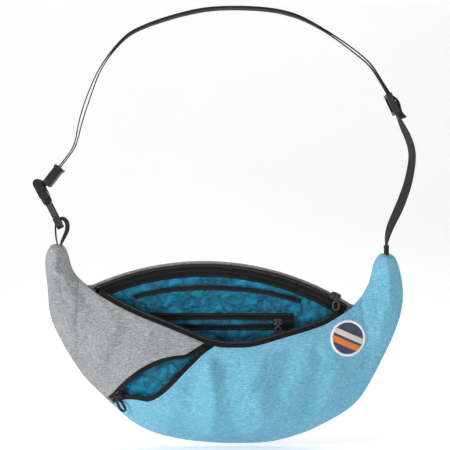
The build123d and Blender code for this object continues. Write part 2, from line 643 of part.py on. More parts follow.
def patch_arc(radius, start_deg, end_deg):
    return arc_about(PATCH_CENTRE, radius, start_deg, end_deg, 16)


save("patch_disc",
     curved_sheet(patch_arc(DISC_R, 225, 315), patch_arc(DISC_R, 135, 45), 1.1,
                  behind_face(-1.5), columns=8, rows=8,
                  start=patch_arc(DISC_R, 225, 135), end=patch_arc(DISC_R, -45, 45)))
save("patch_border",
     *[curved_sheet(patch_arc(BORDER_INNER_R, a, a + 180), patch_arc(PATCH_R, a, a + 180), 1.6,
                    behind_face(-2.0), columns=14, rows=1) for a in (0, 180)])


# ------------------------------------------------------------------ strap webbing
def unit(a, b):
    length = math.dist(a, b)
    return ((b[0] - a[0]) / length, (b[1] - a[1]) / length)


# straight run through the adjuster on the right
ADJ_LOW, ADJ_HIGH = (184.5, 214.4), (163.1, 260.0)
ADJ_DIR = unit(ADJ_LOW, ADJ_HIGH)
ADJ_OUT = (ADJ_DIR[1], -ADJ_DIR[0])             # away from the middle of the loop
ADJ_C = (ADJ_HIGH[0] - ADJ_DIR[0] * 11.5, ADJ_HIGH[1] - ADJ_DIR[1] * 11.5)
# straight run through the keeper on the left
KEEPER_LOW, KEEPER_HIGH = (-177.6, 168.6), (-153.4, 199.6)
KEEPER_DIR = unit(KEEPER_LOW, KEEPER_HIGH)
KEEPER_OUT = (-KEEPER_DIR[1], KEEPER_DIR[0])    # to the upper left, outside the loop
KEEPER_C = (KEEPER_LOW[0] + KEEPER_DIR[0] * 11.2, KEEPER_LOW[1] + KEEPER_DIR[1] * 11.2)
HOOK_BAR = (-183.6, 166.6)                      # bar of the snap hook
LAYER_PITCH = WEB_T + 0.3                       # between the mid-lines of the two layers
FOLD_R, FOLD_HALF_ANGLE = 3.25, 112

# strap mid-line, (x, z): right tip up to the adjuster, then over the top to the keeper
RIGHT_RUN = [(162.6, 108.6), (162.9, 114.0), (164.4, 122.0), (167.6, 130.6), (173.1, 142.5),
             (178.2, 154.5), (183.4, 169.5), (187.0, 187.0), (187.8, 201.5)]
OVER_TOP = [(152.6, 277.6), (143.6, 289.6), (128.0, 302.4), (109.3, 316.4), (101.4, 321.7),
            (87.1, 330.0), (72.7, 336.6), (58.4, 340.8), (44.0, 343.2), (22.5, 344.8),
            (1.0, 344.9), (-16.0, 343.7), (-30.3, 341.3), (-44.6, 337.9), (-59.0, 333.6),
            (-73.3, 328.8), (-86.0, 323.4), (-94.9, 318.2), (-102.4, 311.6), (-109.2, 304.2),
            (-115.0, 296.8), (-119.8, 289.4), (-124.6, 280.6), (-128.6, 271.0),
            (-132.2, 260.6), (-137.4, 245.0), (-142.0, 230.2), (-145.4, 217.4),
            (-148.6, 207.4)]


def outward_bow(x, z):
    """How far the outer layer stands away on the left limb and at the upper right."""
    if x < -100:
        return 1.6 * math.exp(-((z - 250.0) / 26.0) ** 2)
    if x > 90:
        return 1.2 * math.exp(-((x - 130.0) / 20.0) ** 2)
    return 0.0


right_part = RIGHT_RUN + [mix(ADJ_LOW, ADJ_HIGH, t) for t in (0.0, 0.25, 0.5, 0.75, 1.0)]
keeper_run = [mix(KEEPER_HIGH, KEEPER_LOW, t) for t in (0.0, 0.33, 0.66, 1.0)]
inner_layer = smooth_line(right_part + OVER_TOP + keeper_run, PANEL_STEP)
# the return layer lies outside the first and ends just above the adjuster run
return_start = len(smooth_line(right_part, PANEL_STEP)) + 1
return_line = offset_line(inner_layer, -LAYER_PITCH)[return_start:]
outer_layer = [side_step(return_line, i, -outward_bow(*p)) for i, p in enumerate(return_line)]
# fold round the hook bar
fold_angle = math.degrees(math.atan2(HOOK_BAR[1] - KEEPER_LOW[1], HOOK_BAR[0] - KEEPER_LOW[0]))
fold = arc_about(HOOK_BAR, FOLD_R, fold_angle + FOLD_HALF_ANGLE, fold_angle - FOLD_HALF_ANGLE, 12)
save("strap_webbing", ribbon(inner_layer + fold + outer_layer[::-1], WEB_T, STRAP_Y, WEB_W))

# ------------------------------------------------------------------ strap adjuster
# Frame: +X up along the strap, +Y = world Y, +Z away from the middle of the loop.
# Two flat bars on the inner side, a round centre bar on the outer side.
FRAME_L, FRAME_H = 22.0, 6.4
RAIL_W = 2.6
BAR_L, BAR_SPAN, BAR_H = 3.6, 19.0, 2.2
CENTRE_BAR = (-1.0, 3.2)                        # (x, z)
rail_y = WEB_W / 2 + 0.6 + RAIL_W / 2           # middle of each side rail
rails = [box((FRAME_L, RAIL_W, FRAME_H), (-FRAME_L / 2, side * rail_y - RAIL_W / 2, -FRAME_H / 2))
         for side in (-1, 1)]
adjuster = rails[0].fuse(rails[1])
for bar_x in (-FRAME_L / 2, FRAME_L / 2 - BAR_L):
    adjuster = adjuster.fuse(box((BAR_L, BAR_SPAN, BAR_H), (bar_x, -BAR_SPAN / 2, -FRAME_H / 2)))
adjuster = adjuster.fuse(rod_y(1.25, BAR_SPAN, *CENTRE_BAR)).clean()
save("strap_adjuster", place_on_strap(adjuster, ADJ_C, ADJ_DIR, ADJ_OUT))

# short piece of webbing looped round the centre bar
end_line = ([(-15.5, 2.1), (-10.0, 2.0), (-5.0, 1.55)]
            + arc_about(CENTRE_BAR, 1.95, -75, 150, 8)
            + [(-5.5, 4.6), (-10.0, 3.7), (-15.5, 3.6)])
save("strap_end_loop",
     place_on_strap(ribbon(end_line, 0.95, 0, WEB_W), ADJ_C, ADJ_DIR, ADJ_OUT))

# ------------------------------------------------------------------ strap keeper
# Moulded loop round both layers, with a raised shoulder at its upper end.
# Frame: +X up along the strap, +Y = world Y, +Z outside the loop.
SLOT_W = WEB_W + 1.2
SLOT_H = 2 * WEB_T + 0.3 + 1.6
SLOT_LOW_Z = LAYER_PITCH / 2 - WEB_T - 0.15 - 0.8
slot = box((30.0, SLOT_W, SLOT_H), (-15.0, -SLOT_W / 2, SLOT_LOW_Z))
keeper = box((21.0, 20.0, 8.8), (-10.5, -10.0, -4.4)).cut(slot)
shoulder = box((2.6, 21.0, 10.4), (8.9, -10.5, -5.2)).cut(slot)
save("strap_keeper",
     place_on_strap(keeper.fuse(shoulder).clean(), KEEPER_C, KEEPER_DIR, KEEPER_OUT))

# ------------------------------------------------------------------ snap hook
# Frame: origin on the bar, +X down along the hook, +Y = world Y, +Z across the hook.
HOOK_DIR = (0.457, -0.8895)
HOOK_ACROSS = (0.8895, 0.457)
HEAD_HALF_W = 10.6             # over the side rails
HEAD_RAIL_T = 2.3
# hook outline, (x, y): spine at the back, nose in front
HOOK_OUTLINE = [(16.6, -8.6), (16.6, 8.9), (41.5, 8.9), (44.4, 7.6), (45.9, 4.6), (46.2, 0.0),
                (45.7, -5.2), (43.6, -8.0), (40.0, -8.9), (34.0, -8.9), (34.0, -5.2),
                (40.0, -5.0), (41.6, -4.0), (42.3, -1.5), (42.4, 1.5), (41.6, 3.9),
                (39.6, 4.9), (21.6, 4.9), (20.0, 3.6), (20.0, -4.4), (18.6, -5.4),
                (17.4, -8.6)]
GATE_OUTLINE = [(18.9, -5.75), (20.6, -5.3), (33.6, -5.9), (33.6, -8.9), (18.6, -8.9)]
HOOK_T, GATE_T = 6.0, 4.8


def save_hook_part(name, shape):
    save(name, place_on_strap(shape, HOOK_BAR, HOOK_DIR, HOOK_ACROSS))


def flat_part(outline, thickness):
    return extrude_z(polygon_face([(x, y, 0) for x, y in outline]), -thickness / 2, thickness)


# head: two rounded side rails, the webbing bar, a cross block and a collar bored for the pin
rail_face = stadium_face(-4.2, 9.0, 4.5, across=(0, 0, 1))
head = extrude_y(rail_face, -HEAD_HALF_W, HEAD_RAIL_T).fuse(
    extrude_y(rail_face, HEAD_HALF_W - HEAD_RAIL_T, HEAD_RAIL_T))
head = head.fuse(rod_y(2.2, 20.0))
head = head.fuse(box((4.4, 2 * HEAD_HALF_W, 8.4), (6.6, -HEAD_HALF_W, -4.2)))
head = head.fuse(rod_x(4.9, 3.4, x_start=10.8))
head = head.cut(rod_x(2.05, 12.0, x_start=7.5)).cut(rod_x(3.3, 2.4, x_start=7.4)).clean()
save_hook_part("snap_hook_head", head)

# body: swivel pin with its flange inside the head, collar and hook
swivel_pin = rod_x(2.0, 7.6, x_start=7.6).fuse(rod_x(3.1, 1.6, x_start=7.9))
collar = rod_x(4.7, 3.2, x_start=14.3)
body = flat_part(HOOK_OUTLINE, HOOK_T).fuse(swivel_pin).fuse(collar).clean()
save_hook_part("snap_hook_body", body)

# gate closing the front of the hook
save_hook_part("snap_hook_gate", flat_part(GATE_OUTLINE, GATE_T))

# ------------------------------------------------------------------ webbing pieces at the tips
# loop standing on the left tip, (x, z)
TIP_LOOP = [(-167.9, 112.4), (-168.3, 118.0), (-168.3, 129.0), (-167.2, 133.0),
            (-163.4, 135.8), (-159.0, 134.4), (-156.5, 130.0), (-156.9, 123.5),
            (-159.6, 117.4), (-163.0, 112.4)]
save("tip_loop_left", ribbon(smooth_line(TIP_LOOP, 1.5), 1.1, STRAP_Y, 8.0))
save("strap_tab_right", box((6.0, WEB_W, 6.4), (159.7, STRAP_Y - WEB_W / 2, 102.0)))
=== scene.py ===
"""Crescent sling bag with two-colour front, three zips, inner pockets and a looped webbing strap.

The bag hangs upright: X to the right, Z up, its front faces -Y and its back lies near y = 0.
The body fills z = -90 to 111 mm and the strap loops over it to z = 345 mm.
Lengths are in mm unless a comment says metres. Outlines are front-view (x, z) points.
"""

import json
import math
import bmesh
import bpy
import numpy as np
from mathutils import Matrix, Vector, noise

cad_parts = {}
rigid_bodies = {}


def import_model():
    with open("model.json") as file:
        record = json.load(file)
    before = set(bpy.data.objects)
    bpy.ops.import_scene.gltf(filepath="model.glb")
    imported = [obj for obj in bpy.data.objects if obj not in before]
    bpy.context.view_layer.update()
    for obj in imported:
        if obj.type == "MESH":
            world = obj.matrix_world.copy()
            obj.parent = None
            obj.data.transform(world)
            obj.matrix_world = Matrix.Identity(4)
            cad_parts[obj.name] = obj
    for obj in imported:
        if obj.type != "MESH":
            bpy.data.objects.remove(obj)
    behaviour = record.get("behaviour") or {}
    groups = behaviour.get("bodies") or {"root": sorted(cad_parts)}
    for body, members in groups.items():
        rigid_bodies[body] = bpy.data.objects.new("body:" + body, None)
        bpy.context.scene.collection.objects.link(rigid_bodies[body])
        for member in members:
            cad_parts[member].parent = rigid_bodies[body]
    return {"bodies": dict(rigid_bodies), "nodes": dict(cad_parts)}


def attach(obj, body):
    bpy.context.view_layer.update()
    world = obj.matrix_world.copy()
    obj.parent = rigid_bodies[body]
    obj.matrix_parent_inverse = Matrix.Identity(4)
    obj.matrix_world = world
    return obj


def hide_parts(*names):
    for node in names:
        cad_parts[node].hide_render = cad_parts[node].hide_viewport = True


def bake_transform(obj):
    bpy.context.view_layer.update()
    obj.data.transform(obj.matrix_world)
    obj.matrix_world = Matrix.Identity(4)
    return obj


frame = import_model()
scene = bpy.context.scene
own_objects = set(frame["nodes"].values()) | set(frame["bodies"].values())
for extra in list(scene.objects):
    if extra not in own_objects:
        bpy.data.objects.remove(extra)
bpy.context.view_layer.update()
MM = 0.001
rng = np.random.default_rng(7)

# ---------------------------------------------------------------- dimensions
SHELL_T, LINING_T, TAPE_T = 0.9, 0.4, 0.5
FACE_Y = -1.9                               # front shell at its seams
LIP_DEPTH, BELLY, HEM_RISE = 46.0, 11.0, 26.0   # bulge at the mouth, in the middle, run from the hem
MOUTH_X, MOUTH_HALF = -3.5, 142.0           # middle and half width of the mouth
ARC_X, ARC_Z, ARC_R = -20.3, -180.4, 273.3  # circle of the back panel's top edge
COIL_R = ARC_R - 3.0                        # front edge of the back zip tape
BAND_R = COIL_R - 13.0                      # its sewn edge
PATCH_X, PATCH_Z, PATCH_R = 123.0, 16.6, 18.0
PANEL_Y = -3.2                              # inner pocket panels
STRAP_Y, WEB_T, WEB_W = -11.5, 1.2, 15.0
EYE_Z = 129.0                               # camera height

# ---------------------------------------------------------------- measured outlines, (x, z)
# lower edge, from the left tip round to the right tip
HEM = [(-168.0, 111.1), (-174.8, 107.8), (-178.6, 100.0), (-179.8, 90.0), (-178.4, 76.0),
       (-176.9, 60.1), (-175.6, 44.3), (-171.8, 30.0), (-164.2, 14.2), (-154.4, -3.0),
       (-141.2, -22.4), (-129.3, -34.8), (-118.5, -45.2), (-107.4, -55.4), (-94.9, -66.4),
       (-80.5, -75.2), (-66.2, -80.8), (-50.0, -84.8), (-30.3, -87.9), (1.0, -90.0),
       (36.9, -89.6), (58.4, -86.2), (81.4, -79.2), (101.4, -69.9), (118.7, -60.2),
       (131.3, -50.6), (139.4, -41.2), (146.1, -30.3), (153.1, -17.4), (160.3, -3.0),
       (167.4, 11.3), (173.2, 25.7), (177.3, 38.4), (179.6, 51.5), (179.9, 63.0),
       (178.4, 75.9), (175.5, 88.0), (171.4, 97.2), (163.5, 101.6)]
# upper edge: left tip to mouth, mouth, mouth to right tip
LEFT_INNER = [(-168.0, 111.1), (-162.6, 109.3), (-158.7, 104.6), (-156.0, 97.4),
              (-153.8, 88.8), (-150.4, 81.2), (-144.8, 74.8), (-137.6, 68.4)]
MOUTH = [(-137.6, 68.4), (-129.3, 62.3), (-118.5, 55.8), (-102.0, 47.2), (-80.5, 37.9),
         (-59.0, 29.8), (-37.5, 21.2), (-18.8, 13.4), (1.0, 9.2), (22.5, 9.4), (36.9, 11.9),
         (58.4, 18.0), (81.4, 24.2), (100.0, 30.2), (110.0, 35.4), (119.0, 40.6),
         (125.8, 44.6), (130.6, 48.4)]
RIGHT_INNER = [(130.6, 48.4), (135.2, 53.8), (139.9, 60.2), (143.6, 66.8), (146.4, 73.4),
               (148.1, 80.6), (149.9, 88.8), (153.4, 96.4), (158.2, 100.6), (163.5, 101.6)]
# front pocket opening, from the hem up to the mouth: cloth lips, tape edges with the coils,
# and tape edges behind the cloth
GREY_LIP = [(-118.4, -45.0), (-110.7, -38.4), (-103.0, -29.6), (-91.0, -18.5), (-79.0, -10.0),
            (-64.0, -2.5), (-49.5, 1.2), (-38.0, 2.6), (-30.4, 7.0), (-19.4, 13.6)]
BLUE_LIP = [(-111.9, -51.3), (-106.6, -47.4), (-101.0, -45.0), (-91.6, -43.7), (-83.2, -44.0),
            (-76.3, -45.0), (-70.6, -43.6), (-64.6, -40.2), (-57.1, -34.4), (-49.5, -27.0),
            (-38.0, -14.7), (-28.1, -4.8), (-19.6, 3.4), (-9.0, 10.6)]
UPPER_TEETH = [(-113.9, -46.2), (-109.2, -42.4), (-104.0, -38.3), (-100.2, -34.2),
               (-97.0, -29.8), (-87.6, -21.6), (-76.6, -13.8), (-62.6, -6.6), (-49.2, -2.4),
               (-37.0, -0.6), (-28.6, 3.4), (-23.0, 7.0), (-18.9, 9.7)]
LOWER_TEETH = [(-113.3, -46.8), (-108.7, -43.1), (-103.6, -39.1), (-98.8, -39.4),
               (-88.0, -38.9), (-77.0, -40.2), (-69.4, -37.9), (-61.0, -30.8),
               (-49.5, -19.7), (-41.2, -10.9), (-30.6, -0.9), (-24.0, 4.9), (-18.2, 9.2)]
GREY_BACK = [(-118.4, -37.4), (-112.5, -32.5), (-106.0, -25.0), (-93.5, -14.0), (-81.0, -5.5),
             (-65.0, 2.0), (-50.0, 5.8), (-39.5, 7.2), (-32.5, 10.2), (-27.0, 11.4)]
BLUE_BACK = [(-104.8, -51.8), (-102.0, -50.5), (-97.0, -48.8), (-91.0, -48.2), (-83.0, -48.6),
             (-76.0, -49.6), (-68.4, -48.0), (-61.2, -43.8), (-53.6, -37.6), (-46.0, -30.4),
             (-34.5, -18.2), (-24.6, -8.2), (-16.0, 0.2), (-11.6, 3.6)]
POCKET_TOP = [(-112.0, -26.0), (-101.0, -10.0), (-80.0, 8.0), (-50.0, 15.0), (-24.0, 11.0),
              (-6.0, 3.0), (20.0, 0.5), (48.0, -8.0), (66.0, -30.0)]
SLIP_POCKET_TOP = [(-91.3, 58.6), (-80.5, 61.8), (-59.0, 65.9), (-37.5, 67.8), (-16.0, 68.5),
                   (5.0, 67.9), (30.0, 65.6), (55.0, 61.0), (78.0, 54.5)]
ZIP_POCKET_LOW = [(-86.0, -14.0), (-40.0, -40.0), (0.0, -43.0), (40.0, -38.0), (74.0, -22.0)]

# soft folds of the front cloth: start, end, half width, height (+ stands out, - sinks in)
FOLDS_BLUE = [
    ((-32, -22), (-38, -80), 10, -3.4), ((-13, -8), (-15, -80), 6, 3.2),
    ((5, 4), (4, -72), 9, -2.6), ((36, 6), (33, -84), 12, 2.8), ((64, 15), (57, -36), 10, -2.6),
    ((100, 8), (62, -76), 9, -3.4), ((120, 0), (90, -70), 9, 3.0),
    ((141, 10), (117, -52), 9, -2.8), ((160, 44), (140, -28), 9, 2.2),
    ((167, 92), (170, 40), 5, 1.8), ((152, 86), (156, 30), 5, -1.8),
    ((-58, -46), (-63, -80), 7, 2.0), ((-80, -50), (-90, -66), 6, -1.4),
    ((48, -10), (8, -36), 10, 1.2), ((20, -40), (-6, -60), 8, -1.2),
    ((90, -14), (118, -22), 8, 1.2), ((174, 70), (162, 62), 5, 1.2), ((84, 22), (110, 0), 6, 1.4)]
FOLDS_GREY = [
    ((-173, 88), (-157, 74), 4.0, 3.2), ((-171, 80), (-153, 69), 3.5, -2.6),
    ((-167, 105), (-173, 62), 4, 1.6), ((-159, 98), (-165, 58), 4, -1.6),
    ((-150, 68), (-160, 4), 7, 2.4), ((-132, 56), (-142, -14), 8, -2.6),
    ((-112, 46), (-126, -26), 8, 2.4), ((-92, 34), (-110, -10), 7, -2.0),
    ((-70, 24), (-86, -2), 7, 1.6), ((-144, 30), (-118, 4), 8, 1.2),
    ((-158, 93), (-150, 78), 3, 1.5), ((-165, 63), (-146, 55), 4, 1.4),
    ((-48, 16), (-60, 4), 5, -1.2), ((-175, 50), (-160, 20), 6, 1.4)]


# ---------------------------------------------------------------- curves
def spline(points, step):
    """Catmull-Rom curve through the points, sampled about every step."""
    out = []
    last = len(points) - 1
    for i in range(last):
        before, start, end = points[max(i - 1, 0)], points[i], points[i + 1]
        after = points[min(i + 2, last)]
        count = max(1, int(round(math.dist(start, end) / step)))
        for k in range(count):
            t = k / count
            out.append(tuple(
                0.5 * (2 * b + (c - a) * t + (2 * a - 5 * b + 4 * c - d) * t * t
                       + (3 * b - a - 3 * c + d) * t ** 3)
                for a, b, c, d in zip(before, start, end, after)))
    out.append(tuple(points[-1]))
    return out


def unit(vectors):
    """Rows scaled to length 1."""
    return vectors / np.maximum(np.linalg.norm(vectors, axis=-1, keepdims=True), 1e-9)


def offset_line(points, distance):
    """The line moved to the left of its travel."""
    line = np.array(points, float)
    travel = unit(np.vstack([line[1:], line[-1:]]) - np.vstack([line[:1], line[:-1]]))
    return [tuple(q) for q in line + np.stack([-travel[:, 1], travel[:, 0]], 1) * distance]


def running_length(points):
    return np.concatenate([[0], np.cumsum(np.linalg.norm(np.diff(points, axis=0), axis=1))])


def along(points, shares):
    """Points of a line at shares 0..1 of its length."""
    line = np.array(points, float)
    travelled = running_length(line)
    keep = np.concatenate([[True], np.diff(travelled) > 1e-9])
    line, travelled = line[keep], travelled[keep]
    stations = np.asarray(shares, float) * travelled[-1]
    return np.stack([np.interp(stations, travelled, column) for column in line.T], -1)


def length_of(points):
    return float(np.linalg.norm(np.diff(np.array(points, float), axis=0), axis=1).sum())


def resample(points, step):
    count = max(1, int(round(length_of(points) / step)))
    return along(points, np.linspace(0, 1, count + 1))


def distance_to(line, x, z):
    """Shortest distance from each point to a line."""
    line = np.array(line, float)
    shape = np.shape(x)
    x, z = np.ravel(x), np.ravel(z)
    best = np.full(x.shape, 1e9)
    for (ax, az), (bx, bz) in zip(line[:-1], line[1:]):
        dx, dz = bx - ax, bz - az
        t = np.clip(((x - ax) * dx + (z - az) * dz) / max(dx * dx + dz * dz, 1e-12), 0, 1)
        best = np.minimum(best, np.hypot(x - ax - t * dx, z - az - t * dz))
    return best.reshape(shape)


def inside(outline, x, z):
    """True for points within a closed outline."""
    corners = np.array(outline, float)
    shape = np.shape(x)
    x, z = np.ravel(x), np.ravel(z)
    hit = np.zeros(x.shape, bool)
    for (ax, az), (bx, bz) in zip(corners, np.roll(corners, 1, axis=0)):
        if az != bz:
            hit ^= ((az > z) != (bz > z)) & (x < (bx - ax) * (z - az) / (bz - az) + ax)
    return hit.reshape(shape)


def smooth(t):
    t = np.clip(t, 0, 1)
    return t * t * (3 - 2 * t)


def arc_point(angle, radius):
    """Point on a circle round the arc's centre, angle in degrees from straight up."""
    return (ARC_X + radius * math.sin(math.radians(angle)),
            ARC_Z + radius * math.cos(math.radians(angle)))


def arc(radius, start, stop, count=120):
    return [arc_point(start + (stop - start) * i / count, radius) for i in range(count + 1)]


def level_line(x_start, length, z, count):
    return [(x_start + length * i / count, z) for i in range(count + 1)]


def bowed(x_start, x_stop, z_ends, bow, count=60):
    """Level line with its middle raised by bow."""
    xs = np.linspace(x_start, x_stop, count)
    shares = (xs - x_start) / (x_stop - x_start)
    return [(float(x), float(z_ends + bow * math.sin(math.pi * t) ** 0.8))
            for x, t in zip(xs, shares)]


HEM_LINE = spline(HEM, 6)
TOP_LINE = spline(LEFT_INNER, 5)[:-1] + spline(MOUTH, 5)[:-1] + spline(RIGHT_INNER, 5)
LIP_LINES = [spline(GREY_LIP, 5), spline(BLUE_LIP, 5)]
MOUTH_LINE = spline(MOUTH, 4)
ABOVE_HEM = [(-260, 260)] + HEM_LINE + [(260, 260)]
BELOW_TOP = [(-260, -300), (-260, 111.1)] + TOP_LINE + [(260, 101.6), (260, -300)]
ARC_LEFT = math.degrees(math.atan2(LEFT_INNER[-1][0] - ARC_X, LEFT_INNER[-1][1] - ARC_Z))
ARC_RIGHT = math.degrees(math.atan2(RIGHT_INNER[0][0] - ARC_X, RIGHT_INNER[0][1] - ARC_Z))


# ---------------------------------------------------------------- surfaces, y over (x, z)
def outer_y(x, z):
    """Outside of the front shell."""
    to_hem = distance_to(HEM_LINE, x, z) * np.where(inside(ABOVE_HEM, x, z), 1, -1)
    to_top = distance_to(TOP_LINE, x, z) * np.where(inside(BELOW_TOP, x, z), 1, -1)
    u = (x - MOUTH_X) / MOUTH_HALF
    lip = LIP_DEPTH * np.maximum(0.0, 1 - u * u) ** 0.8
    rise = 1 - np.exp(-np.maximum(to_hem, 0) / HEM_RISE)
    to_top = np.maximum(to_top, -6.0)
    crown = 4 * BELLY * to_hem * to_top / ((to_hem + to_top) ** 2 + 40.0)
    return FACE_Y - np.where(to_hem <= 0, 0.0, np.maximum(0.0, rise * lip + crown))


def edge_gap(x, z):
    """0 along the front's outline, 1 well inside it."""
    nearest = np.minimum(distance_to(HEM_LINE, x, z), distance_to(TOP_LINE, x, z))
    return smooth((nearest - 4.0) / 14.0)


def pocket_y(x, z):
    """Front pocket lining, behind the shell."""
    ramp = smooth((distance_to(HEM_LINE, x, z) - 6.0) / 8.0)
    return outer_y(x, z) + SHELL_T + 1.0 + (1.6 + 4.6 * edge_gap(x, z)) * ramp


def lining_y(x, z):
    """Front lining, behind the front pocket."""
    behind = pocket_y(x, z) + LINING_T + 0.8 + 0.2 * edge_gap(x, z)
    return np.minimum(behind, -2.0)


def tape_y(x, z):
    """Zip tapes just behind the front shell."""
    return outer_y(x, z) + (SHELL_T + 0.25)


def back_tape_y(x, z):
    """Main zip's back tape, tilted towards the mouth."""
    radius = np.hypot(x - ARC_X, z - ARC_Z)
    return np.interp(radius, [BAND_R, BAND_R + 7.0, COIL_R], [-2.0, -4.6, -5.3]) - TAPE_T


def slip_y(x, z):
    """Slip pocket panel, bowed forwards towards its top."""
    u = np.clip((x + 91) / 169.0, 0, 1)
    v = np.clip((z - 37.6) / 28.0, 0, 1)
    return -3.6 - 1.6 * np.sin(np.pi * u) * v ** 1.4


def flat_at(y):
    return lambda x, z: np.full_like(x, y)


# ---------------------------------------------------------------- noise over (x, z)
def sampled(sample, x, z, scale, offset):
    points = np.stack([x, 0 * x, z], -1).reshape(-1, 3)
    values = [sample(Vector(p) * scale + Vector(offset)) for p in points]
    return np.array(values).reshape(x.shape)


def creases(x, z, scale, octaves, seed):
    """Sharp-creased noise, about 0..1."""
    return sampled(lambda p: noise.ridged_multi_fractal(p, 0.9, 2.1, octaves, 1.0, 1.6),
                   x, z, scale, (seed, seed * 1.7, -seed))


def swells(x, z, scale, octaves, seed):
    """Soft noise round 0."""
    return sampled(lambda p: noise.fractal(p, 0.8, 2.0, octaves),
                   x, z, scale, (seed, -seed, seed * 0.7))


# ---------------------------------------------------------------- mesh building
def make(name, verts, faces, mat, body="bag", uvs=None):
    """Smooth-shaded mesh object from mm vertices."""
    mesh = bpy.data.meshes.new(name)
    mesh.from_pydata((np.asarray(verts, float) * MM).tolist(), [], faces)
    if uvs is not None:
        layer = mesh.uv_layers.new(name="UVMap")
        corner = np.empty(len(mesh.loops), int)
        mesh.loops.foreach_get("vertex_index", corner)
        layer.data.foreach_set("uv", np.asarray(uvs, float)[corner].astype(np.float32).ravel())
    mesh.validate()
    mesh.update()
    mesh.polygons.foreach_set("use_smooth", [True] * len(mesh.polygons))
    obj = bpy.data.objects.new(name, mesh)
    scene.collection.objects.link(obj)
    mesh.materials.append(mat)
    if body:
        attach(obj, body)
    return obj


def quads(index):
    """Quads of a grid of vertex indices."""
    return np.stack([index[:-1, :-1], index[1:, :-1], index[1:, 1:], index[:-1, 1:]],
                    -1).reshape(-1, 4)


def ring_faces(rows, count, closed=False):
    """Quads between rows of count vertices that each run round in a ring."""
    faces = []
    for i in range(rows if closed else rows - 1):
        here, there = i * count, (i + 1) % rows * count
        for k in range(count):
            after = (k + 1) % count
            faces.append((here + k, here + after, there + after, there + k))
    return faces


def dense(count, length, rounding):
    """Shares 0..1 with extra rows near both ends, for a rounded edge."""
    ends = [share * rounding / length for share in (0.0, 0.06, 0.22, 0.5, 1.0)]
    middle = np.linspace(ends[-1] * 1.8, 1 - ends[-1] * 1.8, count)
    return np.array(ends + list(middle) + [1 - e for e in ends[::-1]])


def straight_sides(low, high):
    return [low[0], high[0]], [low[-1], high[-1]]


def coons(low, high, left, right, us, vs):
    """Grid of (x, z) that fills the outline between four lines."""
    bottom, top = along(low, us)[:, None, :], along(high, us)[:, None, :]
    start, end = along(left, vs)[None, :, :], along(right, vs)[None, :, :]
    u, v = us[:, None, None], vs[None, :, None]
    low, high = np.array(low), np.array(high)
    return ((1 - v) * bottom + v * top + (1 - u) * start + u * end
            - ((1 - u) * (1 - v) * low[0] + u * (1 - v) * low[-1]
               + (1 - u) * v * high[0] + u * v * high[-1]))


def on_surface(plane, y_of):
    x, z = plane[..., 0], plane[..., 1]
    return np.stack([x, y_of(x, z), z], -1)


def border_distance(low, high, us, vs):
    across = np.linalg.norm(along(low, us) - along(high, us), axis=1)[:, None]
    to_ends = np.minimum(us, 1 - us)[:, None] * ((length_of(low) + length_of(high)) / 2)
    to_sides = np.minimum(vs, 1 - vs)[None, :] * np.maximum(across, 1e-3)
    return np.minimum(to_ends, to_sides)


def solid(name, middle, thickness, edge, rounding, mat, uv=None):
    """Closed sheet round a middle surface; it thins to nothing over rounding at its border."""
    nu, nv = middle.shape[:2]
    inset = np.clip(edge / rounding, 0, 1)
    half = thickness / 2 * np.sqrt(np.clip(1 - (1 - inset) ** 2, 0, 1))
    half[0, :] = half[-1, :] = 0
    half[:, 0] = half[:, -1] = 0
    normal = unit(np.cross(np.gradient(middle, axis=0), np.gradient(middle, axis=1)))
    i, j = nu // 2, nv // 2
    if normal[i, j, 1] > 0:
        normal = -normal
    front = middle + normal * half[..., None]
    back = middle - normal * half[..., None]
    front_index = np.arange(nu * nv).reshape(nu, nv)
    back_index = front_index.copy()                    # both layers share the border
    back_index[1:-1, 1:-1] = nu * nv + np.arange((nu - 2) * (nv - 2)).reshape(nu - 2, nv - 2)
    front_faces, back_faces = quads(front_index), quads(back_index)[:, ::-1]
    centre = front[i, j]
    turn = np.cross(front[i + 1, j] - centre, front[i, j + 1] - centre)
    if np.dot(turn, normal[i, j]) < 0:
        front_faces, back_faces = front_faces[:, ::-1], back_faces[:, ::-1]
    if uv is not None:
        uv = np.vstack([uv.reshape(-1, 2), uv[1:-1, 1:-1].reshape(-1, 2)])
    verts = np.vstack([front.reshape(-1, 3), back[1:-1, 1:-1].reshape(-1, 3)])
    obj = make(name, verts, np.vstack([front_faces, back_faces]).tolist(), mat, uvs=uv)
    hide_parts(name)


def cubic_matrix(shares, count):
    """Rows of Catmull-Rom weights that sample count evenly spaced values at shares 0..1."""
    weights = np.zeros((len(shares), count))
    for row, share in enumerate(shares):
        station = min(max(share, 0), 1) * (count - 1)
        i = min(int(station), count - 2)
        f = station - i
        cubic = (0.5 * (-f + 2 * f * f - f ** 3), 0.5 * (2 - 5 * f * f + 3 * f ** 3),
                 0.5 * (f + 4 * f * f - 3 * f ** 3), 0.5 * (-f * f + f ** 3))
        for k, weight in enumerate(cubic, i - 1):
            weights[row, min(max(k, 0), count - 1)] += weight
    return weights


def refine(coarse, us, vs):
    """Coarse displacement grid sampled on a finer one."""
    return np.einsum("ai,ijk,bj->abk", cubic_matrix(us, coarse.shape[0]), coarse,
                     cubic_matrix(vs, coarse.shape[1]))


